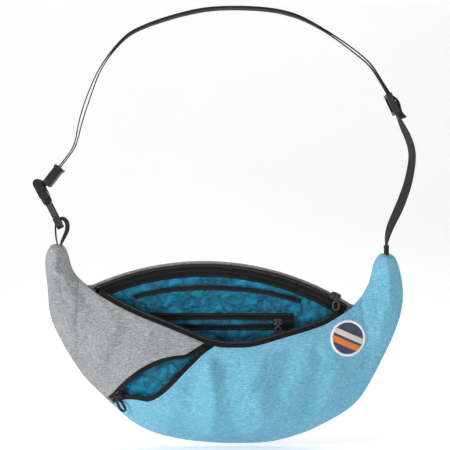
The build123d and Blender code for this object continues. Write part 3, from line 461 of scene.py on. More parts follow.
# ---------------------------------------------------------------- cloth simulation
def drape(rest, *, stretch, frames, gravity, bending, seed, kick, limit, pin=None):
    """Displacements of a sheet pinned at its border, whose cloth is larger than its frame by
    stretch (x, z), so that it buckles. kick is the starting disorder, limit the largest move."""
    nu, nv = rest.shape[:2]
    enlarge = 10.0                                     # larger units keep the solver steady
    start = rest.copy()
    start[1:-1, 1:-1, 1] += np.random.default_rng(seed).normal(0, kick, (nu - 2, nv - 2))
    mesh = bpy.data.meshes.new("sim")
    faces = quads(np.arange(nu * nv).reshape(nu, nv)).tolist()
    mesh.from_pydata((start.reshape(-1, 3) * MM * enlarge).tolist(), [], faces)
    obj = bpy.data.objects.new("sim", mesh)
    scene.collection.objects.link(obj)
    obj.shape_key_add(name="Basis")
    key = obj.shape_key_add(name="rest")
    centre = start.reshape(-1, 3).mean(0)
    cut = (start - centre) * np.array([stretch[0], 1.0, stretch[1]]) + centre
    key.data.foreach_set("co", (cut.reshape(-1, 3) * MM * enlarge).astype(np.float32).ravel())
    key.value = 0.0
    pin = np.zeros((nu, nv), bool) if pin is None else pin.copy()
    pin[0, :] = pin[-1, :] = True
    pin[:, 0] = pin[:, -1] = True
    group = obj.vertex_groups.new(name="pin")
    group.add(np.flatnonzero(pin.ravel()).tolist(), 1.0, "REPLACE")
    modifier = obj.modifiers.new("cloth", "CLOTH")
    cloth = modifier.settings
    cloth.quality = 6
    cloth.mass = 0.3
    cloth.tension_stiffness = cloth.compression_stiffness = 12
    cloth.shear_stiffness = 3
    cloth.bending_stiffness = bending
    cloth.tension_damping = cloth.compression_damping = 8
    cloth.shear_damping = 5
    cloth.bending_damping = 0.6
    cloth.air_damping = 4
    cloth.vertex_group_mass = "pin"
    cloth.pin_stiffness = 1.0
    cloth.rest_shape_key = key
    cloth.effector_weights.gravity = gravity
    modifier.collision_settings.use_collision = False
    modifier.point_cache.frame_start, modifier.point_cache.frame_end = 1, frames
    scene.frame_start, scene.frame_end = 1, frames
    for f in range(1, frames + 1):
        scene.frame_set(f)
    evaluated = obj.evaluated_get(bpy.context.evaluated_depsgraph_get())
    result = evaluated.to_mesh()
    places = np.empty(len(result.vertices) * 3, np.float32)
    result.vertices.foreach_get("co", places)
    evaluated.to_mesh_clear()
    bpy.data.objects.remove(obj)
    bpy.data.meshes.remove(mesh)
    scene.frame_set(1)
    moved = places.reshape(nu, nv, 3).astype(float) / (MM * enlarge) - rest
    moved[pin] = 0
    size = np.linalg.norm(moved, axis=2, keepdims=True)
    moved *= np.where(size > 1e-6, limit * np.tanh(size / limit) / np.maximum(size, 1e-6), 0)
    return moved


# ---------------------------------------------------------------- shader building
class Nodes:
    """Adds shader nodes to a tree; most calls return an output socket."""

    def __init__(self, tree):
        self.tree = tree

    def feed(self, socket, value):
        if isinstance(value, bpy.types.NodeSocket):
            self.tree.links.new(value, socket)
        else:
            socket.default_value = value

    def add(self, kind, inputs=None, **settings):
        made = self.tree.nodes.new("ShaderNode" + kind)
        for key, value in settings.items():
            setattr(made, key, value)
        for key, value in (inputs or {}).items():
            self.feed(made.inputs[key], value)
        return made

    def math(self, operation, first, second):
        return self.add("Math", {0: first, 1: second}, operation=operation).outputs[0]

    def weighted(self, *terms):
        """Sum of (value, weight) terms."""
        total = None
        for value, weight in terms:
            part = self.math("MULTIPLY", value, weight)
            total = part if total is None else self.math("ADD", total, part)
        return total


class Surface(Nodes):
    """A Principled material; coords holds its texture coordinates."""

    def __init__(self, name, roughness, sheen=0.0, metallic=0.0, specular=0.35):
        self.material = bpy.data.materials.new(name)
        self.material.use_nodes = True
        super().__init__(self.material.node_tree)
        self.inputs = self.tree.nodes["Principled BSDF"].inputs
        self.shade({"Roughness": roughness, "Metallic": metallic, "Specular IOR Level": specular,
                    "Sheen Weight": sheen, "Sheen Roughness": 0.45})
        self.coords = self.add("TexCoord").outputs
        self.place = self.coords["Object"]

    def shade(self, values):
        for key, value in values.items():
            self.feed(self.inputs[key], value)

    def mapped(self, vector, scale=(1, 1, 1), rotation=(0, 0, 0)):
        return self.add("Mapping", {"Scale": scale, "Rotation": rotation,
                                    "Vector": vector}).outputs[0]

    def noise(self, vector, scale, detail=3.0, rough=0.6, output="Fac"):
        return self.add("TexNoise", {"Scale": scale, "Detail": detail, "Roughness": rough,
                                     "Vector": vector}).outputs[output]

    def wave(self, vector, scale, direction, distortion, detail_scale):
        return self.add("TexWave", {"Scale": scale, "Distortion": distortion, "Detail": 1.0,
                                    "Detail Scale": detail_scale, "Vector": vector},
                        bands_direction=direction).outputs["Fac"]

    def ramp(self, factor, stops, interpolation="LINEAR"):
        """Colour ramp over (position, colour) stops; a single number is a grey."""
        made = self.add("ValToRGB")
        made.color_ramp.interpolation = interpolation
        elements = made.color_ramp.elements
        while len(elements) < len(stops):
            elements.new(0.5)
        for element, (position, color) in zip(elements, stops):
            element.position = position
            element.color = (*color, 1) if isinstance(color, tuple) else (color,) * 3 + (1,)
        self.feed(made.inputs["Fac"], factor)
        return made.outputs["Color"]

    def mix(self, factor, first, second):
        """Colour mix; sockets 0, 6 and 7 are the factor and the two colours."""
        return self.add("Mix", {0: factor, 6: first, 7: second}, data_type="RGBA").outputs[2]

    def bump(self, height, strength, distance, under=None):
        """Relief (distance in metres), laid over the relief under."""
        made = self.add("Bump", {"Strength": strength, "Distance": distance, "Height": height})
        if under is not None:
            self.feed(made.inputs["Normal"], under)
        self.shade({"Normal": made.outputs["Normal"]})
        return made.outputs["Normal"]


# ---------------------------------------------------------------- materials
def shell_fabric(name, dark, middle, light, contrast):
    """Woven shell cloth: melange yarn colour, weft slubs along X, fine weave relief."""
    cloth = Surface(name, roughness=0.86, sheen=0.12)
    place = cloth.place
    slubs = cloth.noise(cloth.mapped(place, (190, 500, 1250)), scale=1.0, detail=4.0, rough=0.65)
    fine = cloth.noise(cloth.mapped(place, (900, 900, 2600)), scale=1.0, detail=2.0)
    warp = cloth.noise(cloth.mapped(place, (1500, 500, 160)), scale=1.0)
    cloud = cloth.noise(place, scale=22.0, rough=0.5)
    tone = cloth.weighted((slubs, 0.50), (fine, 0.27), (warp, 0.15), (cloud, 0.08))
    spread = 0.13 / contrast
    cloth.shade({"Base Color": cloth.ramp(
        tone, [(0.5 - spread, dark), (0.5, middle), (0.5 + spread, light)])})
    threads = [cloth.wave(place, scale=420.0, direction=axis, distortion=0.8, detail_scale=30.0)
               for axis in "ZX"]
    weave = cloth.bump(cloth.math("MULTIPLY", *threads), strength=0.35, distance=0.00025)
    cloth.bump(slubs, strength=0.55, distance=0.0006, under=weave)
    return cloth.material


def lining_fabric(name, crease_shade, middle, light):
    """Thin crumpled nylon: sharp crease facets, painted shade along the creases and painted
    highlight on the facet tops, fine weave.
    """
    cloth = Surface(name, roughness=0.5, specular=0.22)
    place = cloth.place
    wander = cloth.noise(place, scale=55.0, rough=0.5, output="Color")
    shifted = cloth.add("VectorMath", {0: wander, 1: (0.016, 0.016, 0.016), 2: place},
                        operation="MULTIPLY_ADD").outputs[0]

    def facets(scale, z_scale, top):
        cells = cloth.add("TexVoronoi", {"Scale": scale, "Vector": cloth.mapped(
            shifted, (1.0, 1.0, z_scale))}, feature="DISTANCE_TO_EDGE")
        return cloth.math("MINIMUM", cells.outputs["Distance"], top)

    large = facets(scale=62.0, z_scale=1.5, top=0.42)
    small = facets(scale=165.0, z_scale=1.3, top=0.35)
    height = cloth.weighted((large, 0.75), (small, 0.35))
    cloud = cloth.noise(place, scale=38.0, rough=0.5)
    tone = cloth.weighted((height, 0.9), (cloud, 0.45))
    # base colour: the first stop is painted shade along the crease lines, the last stop a painted
    # highlight on the raised facet tops
    cloth.shade({"Base Color": cloth.ramp(tone, [(0.22, crease_shade), (0.42, middle), (0.62, light)])})
    weft = cloth.wave(place, scale=700.0, direction="Z", distortion=0.5, detail_scale=30.0)
    weave = cloth.bump(weft, strength=0.12, distance=0.0001)
    cloth.bump(height, strength=0.85, distance=0.0030, under=weave)
    cloth.shade({"Roughness": cloth.ramp(cloud, [(0.3, 0.40), (0.7, 0.6)])})
    return cloth.material


def tape_fabric(name, dark, light, rib_scale, yarn_scale):
    """Ribbed tape or webbing. Its UV map is in metres: u along, v across."""
    tape = Surface(name, roughness=0.82, sheen=0.04, specular=0.16)
    uv = tape.coords["UV"]
    rib = tape.wave(uv, scale=rib_scale, direction="X", distortion=0.35, detail_scale=40.0)
    yarn = tape.wave(uv, scale=yarn_scale, direction="Y", distortion=0.5, detail_scale=40.0)
    height = tape.math("MULTIPLY", rib, yarn)
    grain = tape.noise(tape.place, scale=900.0)
    patchy = tape.noise(tape.place, scale=45.0)
    tone = tape.weighted((height, 0.45), (grain, 0.3), (patchy, 0.25))
    tape.shade({"Base Color": tape.ramp(tone, [(0.22, dark), (0.68, light)])})
    ribs = tape.bump(height, strength=0.55, distance=0.0004)
    tape.bump(grain, strength=0.25, distance=0.0002, under=ribs)
    return tape.material


def hard_surface(name, color, roughness, specular, relief=0.18, metallic=0.0, worn=None):
    """Moulded plastic or enamelled metal with a fine grain and rubbed edges."""
    hard = Surface(name, roughness, metallic=metallic, specular=specular)
    grain = hard.noise(hard.place, scale=420.0)
    smudge = hard.noise(hard.place, scale=90.0, detail=4.0, rough=0.65)
    hard.shade({"Roughness": hard.ramp(smudge, [(0.3, roughness - 0.1),
                                                (0.7, roughness + 0.14)])})
    pointed = hard.add("NewGeometry").outputs["Pointiness"]
    edge = hard.ramp(pointed, [(0.52, 0), (0.62, 1)])
    worn = worn or tuple(c * 2.2 + 0.02 for c in color)
    rubbed = hard.math("MULTIPLY", edge, hard.math("MULTIPLY", grain, 0.8))
    hard.shade({"Base Color": hard.mix(rubbed, (*color, 1), (*worn, 1))})
    hard.bump(grain, strength=relief, distance=0.0001)
    return hard.material


def thread(name, color, roughness=0.6):
    yarn = Surface(name, roughness, sheen=0.3)
    grain = yarn.noise(yarn.place, scale=1600.0, detail=2.0)
    yarn.shade({"Base Color": yarn.ramp(grain, [(0.3, tuple(c * 0.72 for c in color)),
                                                (0.7, tuple(min(1, c * 1.15) for c in color))])})
    yarn.bump(grain, strength=0.4, distance=0.0001)
    return yarn.material


def patch_embroidery():
    """Navy field with one orange and one cream slanted band, satin stitch relief."""
    navy, orange, cream = (0.045, 0.055, 0.11), (0.82, 0.25, 0.035), (0.78, 0.74, 0.66)
    patch = Surface("patch_thread", roughness=0.5, sheen=0.25)
    centred = patch.add("Mapping", {"Location": (-PATCH_X * MM, 0, -PATCH_Z * MM),
                                    "Vector": patch.place}).outputs[0]
    turned = patch.mapped(centred)                     # turns the bands; level here
    axes = patch.add("SeparateXYZ", {0: turned}).outputs
    slant = patch.math("ADD", axes["Z"], patch.math("MULTIPLY", axes["X"], 0.45))
    across = patch.math("ADD", patch.math("MULTIPLY", slant, 28.0), 0.5)
    bands = patch.ramp(across, [(0.0, navy), (0.24, orange), (0.42, navy), (0.50, cream),
                                (0.66, navy)], "CONSTANT")
    satin = patch.wave(patch.mapped(patch.place, rotation=(0, math.radians(24), 0)),
                       scale=560.0, direction="X", distortion=0.5, detail_scale=30.0)
    shadow = patch.math("MULTIPLY", satin, 0.35)
    patch.shade({"Base Color": patch.mix(shadow, bands, (0.0, 0.0, 0.0, 1))})
    patch.bump(satin, strength=0.6, distance=0.0003)
    return patch.material


BLUE = shell_fabric("shell_blue", dark=(0.065, 0.26, 0.375), middle=(0.138, 0.39, 0.53),
                    light=(0.255, 0.52, 0.66), contrast=1.12)
GREY = shell_fabric("shell_grey", dark=(0.1148, 0.1190, 0.1232), middle=(0.2550, 0.2635, 0.2677),
                    light=(0.4250, 0.4335, 0.4420), contrast=1.05)
# lining colours: the first is painted shade for the creases, the last a painted highlight for the
# facet tops
TEAL = lining_fabric("lining_teal", crease_shade=(0.0, 0.055, 0.10), middle=(0.0, 0.145, 0.25),
                     light=(0.0, 0.235, 0.385))
TAPE = tape_fabric("zip_tape", dark=(0.003, 0.003, 0.0035), light=(0.019, 0.019, 0.020),
                   rib_scale=900.0, yarn_scale=700.0)
COIL = hard_surface("zip_coil", (0.008, 0.008, 0.009), roughness=0.42, specular=0.3)
BINDING = tape_fabric("binding", dark=(0.004, 0.004, 0.0045), light=(0.020, 0.021, 0.023),
                      rib_scale=620.0, yarn_scale=520.0)
WEBBING = tape_fabric("webbing", dark=(0.008, 0.0085, 0.010), light=(0.048, 0.050, 0.056),
                      rib_scale=430.0, yarn_scale=500.0)
WEBBING_FACE = tape_fabric("webbing_face", dark=(0.007, 0.0075, 0.009),
                           light=(0.040, 0.042, 0.048), rib_scale=430.0, yarn_scale=500.0)
PLASTIC = hard_surface("buckle_plastic", (0.006, 0.0063, 0.0066), roughness=0.46, specular=0.26,
                       relief=0.14)
# snap hook gate: the buckle plastic with a lighter base colour, a painted highlight along the gate
GATE_HIGHLIGHT = hard_surface("buckle_gate_highlight", (0.02, 0.0205, 0.021), roughness=0.34, specular=0.4,
                    relief=0.1)
METAL = hard_surface("zip_metal", (0.008, 0.008, 0.008), roughness=0.33, specular=0.4,
                     relief=0.06, metallic=0.3, worn=(0.12, 0.12, 0.115))
DARK_THREAD = thread("thread_dark", (0.012, 0.012, 0.014))
BLUE_THREAD = thread("thread_blue", (0.10, 0.37, 0.55))
GREY_THREAD = thread("thread_grey", (0.30, 0.31, 0.32))
TEAL_THREAD = thread("thread_teal", (0.0, 0.14, 0.28))
PATCH_EDGE = thread("patch_edge", (0.80, 0.80, 0.87), roughness=0.5)
PATCH = patch_embroidery()


# ---------------------------------------------------------------- small repeated parts
def instances(name, template, origins, side, cross, out, mat, body="bag"):
    """Copies of a template (verts, faces) in one mesh. The three axes have one row for each
    copy, or a single row for all."""
    verts, faces = np.asarray(template[0], float), template[1]
    count = len(verts)
    side, cross, out = (np.atleast_2d(axis)[:, None, :] for axis in (side, cross, out))
    points = (origins[:, None, :] + verts[None, :, 0:1] * side
              + verts[None, :, 1:2] * cross + verts[None, :, 2:3] * out)
    copies = [tuple(i + j * count for i in f) for j in range(len(origins)) for f in faces]
    return make(name, points.reshape(-1, 3), copies, mat, body)


def capsule(length, radius, sides, squash):
    """Rounded bar along X."""
    inset = [(0.13, 0.5), (0.45, 0.86), (1.0, 1.0)]    # from the tip, radius, in radii
    profile = [(-length / 2 + a * radius, b * radius) for a, b in inset]
    profile += [(length / 2 - a * radius, b * radius) for a, b in inset[::-1]]
    verts = []
    for x, ring in profile:
        for k in range(sides):
            angle = 2 * math.pi * k / sides
            verts.append((x, ring * math.cos(angle), ring * squash * math.sin(angle)))
    faces = ring_faces(len(profile), sides)
    left, last = len(verts), (len(profile) - 1) * sides
    verts += [(-length / 2, 0, 0), (length / 2, 0, 0)]
    for k in range(sides):
        after = (k + 1) % sides
        faces.append((left, after, k))
        faces.append((left + 1, last + k, last + after))
    return verts, [tuple(reversed(f)) for f in faces]


def frames_on(path, y_of, step, out=0.0, start=0.0):
    """Points every step along a path on the surface y_of, raised by out, with their
    tangent, outward normal and side axes."""
    flat = resample(path, step / 4)
    line = np.stack([flat[:, 0], y_of(flat[:, 0], flat[:, 1]), flat[:, 1]], 1)
    travelled = running_length(line)
    stations = np.arange(start, travelled[-1], step)

    def at(places):
        return np.stack([np.interp(places, travelled, column) for column in line.T], 1)

    origin = at(stations)
    x, z = origin[:, 0], origin[:, 2]
    tangent = unit(at(stations + 0.3) - at(stations - 0.3))
    reach = 0.6
    slope_x = (y_of(x + reach, z) - y_of(x - reach, z)) / (2 * reach)
    slope_z = (y_of(x, z + reach) - y_of(x, z - reach)) / (2 * reach)
    normal = unit(np.stack([slope_x, -np.ones_like(slope_x), slope_z], 1))
    normal -= tangent * (normal * tangent).sum(1, keepdims=True)
    normal = unit(normal)
    return origin + normal * out, tangent, normal, np.cross(normal, tangent)


def stitches(name, path, y_of, mat, out=0.15, length=2.2, pitch=3.0, radius=0.22):
    """Row of stitches, each a little askew."""
    origin, tangent, normal, side = frames_on(path, y_of, pitch, out, pitch * 0.5)
    skew = rng.normal(0, 0.06, len(origin))[:, None]
    lie = tangent * np.cos(skew) + side * np.sin(skew)
    instances(name, capsule(length, radius, sides=6, squash=0.8), origin,
              lie, np.cross(normal, lie), normal, mat)


def cross_stitches(name, origins, band, out, body="bag"):
    """Dark stitches along Y, across a band that runs along the axis band."""
    instances(name, capsule(1.7, 0.2, sides=6, squash=0.8), np.array(origins),
              [0.0, 1.0, 0.0], band, out, DARK_THREAD, body)


def coil(name, path, y_of, out, side, reach, length, pitch, radius):
    """Coil turns along a tape edge: bars across the tape that stand past it by reach."""
    origin, tangent, normal, across = frames_on(path, y_of, pitch, out, pitch * 0.5)
    lean = 0.18 * side
    across = across * side
    turn = unit(across * math.cos(lean) + tangent * math.sin(lean))
    obj = instances(name, capsule(length, radius, sides=8, squash=0.95),
                    origin + across * (reach - length / 2),
                    turn, np.cross(normal, turn), normal, COIL)
    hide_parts(name)


def cord(name, points, radius, sides=8):
    """Round dark cord through 3D points."""
    tangent = np.gradient(points, axis=0)
    tangent /= np.linalg.norm(tangent, axis=1, keepdims=True)
    side = unit(np.cross(tangent, np.array([0, 1.0, 0])))
    other = np.cross(tangent, side)
    angles = np.linspace(0, 2 * np.pi, sides, endpoint=False)[None, :, None]
    verts = points[:, None, :] + radius * (np.cos(angles) * side[:, None, :]
                                           + np.sin(angles) * other[:, None, :])
    last = (len(points) - 1) * sides
    faces = ring_faces(len(points), sides)
    faces.append(tuple(range(sides)))
    faces.append(tuple(last + k for k in range(sides - 1, -1, -1)))
    make(name, verts.reshape(-1, 3), faces, DARK_THREAD)


def strip(name, low, high, y_of, columns, rows=10, ripple=0.06, rounding=0.3,
          thickness=TAPE_T, mat=TAPE):
    """Tape or binding between two lines."""
    length = (length_of(low) + length_of(high)) / 2
    width = length_of([along(low, [0.5])[0], along(high, [0.5])[0]])
    us, vs = dense(columns, length, rounding), dense(rows, max(width, 2.0), rounding)
    plane = coons(low, high, *straight_sides(low, high), us, vs)
    points = on_surface(plane, y_of)
    points[..., 1] += thickness / 2
    points[..., 1] += ripple * np.sin(us * length * 0.55)[:, None] * np.sin(vs * np.pi)[None, :]
    shape = points.shape[:2]
    uv = np.stack([np.broadcast_to((us * length * MM)[:, None], shape),
                   np.broadcast_to((vs * width * MM)[None, :], shape)], -1)
    solid(name, points, thickness, border_distance(low, high, us, vs), rounding, mat, uv)


# ================================================================ front panels
def cloth_mask(x, z):
    """0 along seams, lips and round the patch, 1 well inside the cloth."""
    nearest = np.minimum.reduce([distance_to(line, x, z)
                                 for line in (HEM_LINE, TOP_LINE, *LIP_LINES)])
    beyond_patch = np.hypot(x - PATCH_X, z - PATCH_Z) - PATCH_R - 1.0
    return smooth((nearest - 3.0) / 13.0) * smooth(beyond_patch / 16.0)


def folds(x, z, strokes):
    out = np.zeros_like(x)
    for (ax, az), (bx, bz), width, height in strokes:
        dx, dz = bx - ax, bz - az
        length = math.hypot(dx, dz)
        t = ((x - ax) * dx + (z - az) * dz) / (length * length)
        side = ((x - ax) * dz - (z - az) * dx) / length + 0.06 * length * np.sin(t * 3.1 + ax)
        over = np.abs(t - np.clip(t, 0, 1)) * length
        out += height * np.exp(-(side ** 2 + over ** 2) / (1.2 * width * width))
    return out


def groove(distance, place, width):
    return np.exp(-((distance - place) / width) ** 2)


def front_panel(name, outline, mat, strokes, seed, columns, rows, lip):
    """One colour of the front. outline holds its low, high, left and right lines."""
    low, high, left, right = outline
    length = (length_of(low) + length_of(high)) / 2
    width = (length_of(left) + length_of(right)) / 2
    coarse = [np.linspace(0, 1, int(length / 4.2)),
              np.linspace(0, 1, max(14, int(width / 4.0)))]
    rest = on_surface(coons(*outline, *coarse), outer_y)
    mask = cloth_mask(rest[..., 0], rest[..., 2])
    draped = drape(rest, stretch=(1.035, 1.012), frames=24, gravity=0.35, bending=0.30,
                   pin=mask < 0.02, seed=seed, kick=0.35, limit=3.6)
    draped = draped * smooth(mask * 1.6)[..., None]

    us, vs = dense(columns, length, 1.2), dense(rows, max(40.0, width), 1.2)
    plane = coons(*outline, us, vs)
    x, z = plane[..., 0], plane[..., 1]
    mask = cloth_mask(x, z)
    relief = (folds(x, z, strokes) * 1.25 * mask
              + swells(x, z, 0.045, 3, seed) * 0.55 * mask
              + swells(x, z * 0.55, 0.16, 3, seed + 3) * 0.16 * (0.3 + 0.7 * mask))
    # turned edges: the cloth is doubled along the lips, with a dip at the stitch line
    for line in (MOUTH_LINE, lip):
        gap = distance_to(line, x, z)
        relief += 0.45 * smooth((5.4 - gap) / 1.2) * smooth(gap / 0.8) - 0.22 * groove(gap, 2.4, 0.5)
        relief += np.sin(x * 1.9 + z * 0.8) * 0.10 * groove(gap, 4.6, 2.2)
    gap = distance_to(HEM_LINE, x, z)
    pucker = 0.20 * np.sin(x * 0.9 + 1.7 * np.sin(z * 0.23)) * groove(gap, 5.0, 3.5)
    relief += pucker - 0.25 * groove(gap, 3.0, 0.6)
    middle_y = outer_y(x, z) + SHELL_T / 2
    points = np.stack([x, outer_y(x, z) - relief + SHELL_T / 2, z], -1)
    points += refine(draped, us, vs) * mask[..., None]
    # round the hem back towards the seam
    points[..., 1] += 0.55 * groove(gap, 0.0, 1.3)
    # no fold stands out where the front pull lies at the end of its travel
    calm = smooth((28.0 - np.hypot(x + 58.0, z + 36.0)) / 11.0)
    points[..., 1] += calm * (np.maximum(points[..., 1], middle_y) - points[..., 1])
    solid(name, points, SHELL_T, border_distance(low, high, us, vs), 0.9, mat)


grey_lip, blue_lip = spline(GREY_LIP, 3), spline(BLUE_LIP, 3)
grey_hem = spline(HEM[:13], 4)
grey_hem[-1] = GREY_LIP[0]
grey_hem = grey_hem[1:]
grey_top = (spline(LEFT_INNER, 4)[:-1]
            + spline([p for p in MOUTH if p[0] < -19] + [GREY_LIP[-1]], 4))[1:]
front_panel("front_panel_grey", (grey_hem, grey_top, [grey_hem[0], grey_top[0]], grey_lip),
            GREY, FOLDS_GREY, seed=11, columns=190, rows=96, lip=grey_lip)
blue_hem = spline([BLUE_LIP[0]] + HEM[14:], 4)[:-1]
blue_top = (spline([BLUE_LIP[-1]] + [p for p in MOUTH if p[0] > 0], 4)[:-1]
            + spline(RIGHT_INNER, 4))[:-1]
front_panel("front_panel_blue", (blue_hem, blue_top, blue_lip, [blue_hem[-1], blue_top[-1]]),
            BLUE, FOLDS_BLUE, seed=23, columns=250, rows=112, lip=blue_lip)


# ================================================================ back panel
def back_panel():
    top_arc = arc(ARC_R, ARC_LEFT, ARC_RIGHT, 60)
    top_arc[0], top_arc[-1] = LEFT_INNER[-1], RIGHT_INNER[0]
    low = spline(HEM, 4)[1:-1]
    high = (spline(LEFT_INNER, 4)[:-1] + top_arc[:-1] + spline(RIGHT_INNER, 4))[1:-1]
    border = low + high[::-1] + low[:1]
    outline = (low, high, *straight_sides(low, high))
    rest = on_surface(coons(*outline, np.linspace(0, 1, 90), np.linspace(0, 1, 36)),
                      flat_at(-SHELL_T / 2))
    mask = smooth((distance_to(border, rest[..., 0], rest[..., 2]) - 5) / 14)
    draped = drape(rest, stretch=(1.016, 1.010), frames=18, gravity=0.3, bending=0.4,
                   pin=mask < 0.02, seed=5, kick=0.3, limit=2.2)
    us, vs = dense(220, 420.0, 0.9), dense(90, 150.0, 0.9)
    plane = coons(*outline, us, vs)
    x, z = plane[..., 0], plane[..., 1]
    gap = distance_to(border, x, z)
    mask = smooth((gap - 5) / 14)
    # the cloth may bag outwards, not into the lining
    bag = refine(draped, us, vs)[..., 1]
    bag = np.where(bag < 0, bag * 0.15, bag)
    relief = np.abs(swells(x, z, 0.03, 3, 9.0)) * 0.7 * mask - 0.2 * groove(gap, 3.0, 0.6)
    y = -SHELL_T / 2 + bag * mask + relief - 0.35 * groove(gap, 0.0, 1.3)
    solid("back_panel", np.stack([x, y, z], -1), SHELL_T, border_distance(low, high, us, vs),
          0.9, GREY)


back_panel()


# ================================================================ linings and inner pockets
def crinkled(low, high, y_of, amount, seed, columns, rows, stretch, limit, push=0.0):
    """Thin lining, buckled by a cloth simulation, then creased. Gives its middle surface and
    the distances to its border."""
    left, right = straight_sides(low, high)
    length = (length_of(low) + length_of(high)) / 2
    width = (length_of(left) + length_of(right)) / 2
    us, vs = dense(columns, length, 0.5), dense(rows, max(width, 20.0), 0.5)
    plane = coons(low, high, left, right, us, vs)
    x, z = plane[..., 0], plane[..., 1]
    edge = border_distance(low, high, us, vs)
    mask = smooth((edge - 1.0) / 9.0)
    large = creases(x, z, 0.045, 3, seed) - 0.9
    small = creases(x, z * 1.5, 0.11, 2, seed + 5) - 0.9
    relief = (large * amount + small * amount * 0.4) * mask
    points = on_surface(plane, y_of)
    points[..., 1] += LINING_T / 2
    coarse = [np.linspace(0, 1, max(16, int(length / 4.0))),
              np.linspace(0, 1, max(12, int(width / 3.6)))]
    rest = on_surface(coons(low, high, left, right, *coarse), y_of)
    draped = drape(rest, stretch=stretch, frames=18, gravity=0.2, bending=0.02,
                   seed=int(seed * 10), kick=0.6, limit=limit)
    points += refine(draped, us, vs) * mask[..., None] * [0.3, 1.0, 0.3]
    points[..., 1] += -relief + push * mask
    return points, edge


def lining(name, points, edge, rounding=0.5):
    solid(name, points, LINING_T, edge, rounding, TEAL)


def back_lining():
    low = [p for p in offset_line(HEM_LINE, 8) if -150 <= p[0] <= 150 and p[1] < 60]
    high = arc(BAND_R + 3, ARC_LEFT + 1.5, ARC_RIGHT - 1.5, 40)
    points, edge = crinkled(low, high, flat_at(-1.4), amount=0.75, seed=2.0, columns=200,
                            rows=90, stretch=(1.03, 1.03), limit=1.1, push=-0.5)
    points[..., 1] = np.clip(points[..., 1], -2.85, -1.2)
    # flat behind the inner zip, where the slider's lower plate runs
    x, z = points[..., 0], points[..., 2]
    lane = (smooth((z - 22.0) / 4.0) * smooth((42.0 - z) / 4.0)
            * smooth((x + 96.0) / 6.0) * smooth((82.0 - x) / 6.0))
    points[..., 1] = np.maximum(points[..., 1], -2.85 + 1.25 * lane)
    lining("lining_back", points, edge)


def front_pocket_lining():
    low = [p for p in offset_line(HEM_LINE, 13) if -112 <= p[0] <= 66 and p[1] < 60]
    points, edge = crinkled(low, spline(POCKET_TOP, 4), pocket_y, amount=1.2, seed=4.0,
                            columns=120, rows=60, stretch=(1.04, 1.04), limit=1.5)
    base = pocket_y(points[..., 0], points[..., 2]) + LINING_T / 2
    gap = edge_gap(points[..., 0], points[..., 2])
    points[..., 1] = np.clip(points[..., 1], base - 1.8 * gap, base + 0.5 * gap)
    lining("front_pocket_lining", points, edge)


def front_lining():
    high = [p for p in offset_line(MOUTH_LINE, -6.2) if -126 < p[0] < 118]
    low = [p for p in offset_line(HEM_LINE, 9) if -142 <= p[0] <= 140 and p[1] < 10]
    points, edge = crinkled(low, high, lining_y, amount=1.0, seed=6.0, columns=190, rows=80,
                            stretch=(1.04, 1.04), limit=2.2)
    base = lining_y(points[..., 0], points[..., 2]) + LINING_T / 2
    gap = edge_gap(points[..., 0], points[..., 2])
    clipped = np.clip(points[..., 1], base - 0.1 * gap, base + 3.2 * gap)
    points[..., 1] = np.minimum(clipped, np.maximum(base, -5.2))
    lining("lining_front", points, edge)


slip_top = spline(SLIP_POCKET_TOP, 3)


def slip_pocket():
    points, edge = crinkled(level_line(-88.0, 164.0, 37.6, 40), offset_line(slip_top, -0.6),
                            slip_y, amount=1.1, seed=8.0, columns=150, rows=40,
                            stretch=(1.05, 1.03), limit=1.0)
    points[..., 1] = np.clip(points[..., 1], -6.6, -3.15)
    lining("slip_pocket_panel", points, edge, 0.4)


def inner_zip_pocket():
    points, edge = crinkled(spline(ZIP_POCKET_LOW, 4), level_line(-86.0, 160.0, 25.6, 30),
                            flat_at(-3.6), amount=1.1, seed=10.0, columns=130, rows=60,
                            stretch=(1.045, 1.045), limit=1.4)
    points[..., 1] = np.clip(points[..., 1], -5.8, -3.1)
    lining("inner_zip_pocket_panel", points, edge, 0.4)


back_lining()
front_pocket_lining()
front_lining()
slip_pocket()
inner_zip_pocket()

# ================================================================ zips and binding
MAIN_COIL = dict(length=2.9, pitch=1.45, radius=0.42)
FRONT_COIL = dict(out=-0.35, reach=0.6, length=2.6, pitch=1.4, radius=0.38)
INNER_COIL = dict(out=0.3, reach=0.5, length=2.3, pitch=1.4, radius=0.36)

# main zip, front side
mouth_tape = [p for p in MOUTH_LINE if -128 < p[0] < 119]
mouth_coil = [p for p in mouth_tape if -119 < p[0] < 110]
strip("main_zip_tape_front", offset_line(mouth_tape, -1.8), offset_line(mouth_tape, 6.0),
      tape_y, columns=260)
coil("main_zip_coil_front", offset_line(mouth_coil, 6.0), tape_y, out=-0.35, side=1,
     reach=0.75, **MAIN_COIL)
cord("main_zip_coil_cord_front",
     frames_on(offset_line(mouth_coil, 4.6), tape_y, step=2.0, out=0.42)[0], radius=0.5)

# front pocket zip
upper_edge, lower_edge = spline(UPPER_TEETH, 3), spline(LOWER_TEETH, 3)
strip("front_zip_tape_upper", upper_edge, spline(GREY_BACK, 3), tape_y, columns=130)
strip("front_zip_tape_lower", lower_edge, spline(BLUE_BACK, 3), tape_y, columns=130)
coil("front_zip_coil_upper", [p for p in upper_edge if -113.5 < p[0] < -20.5], tape_y,
     side=-1, **FRONT_COIL)
coil("front_zip_coil_lower", [p for p in lower_edge if -113.0 < p[0] < -20.0], tape_y,
     side=1, **FRONT_COIL)

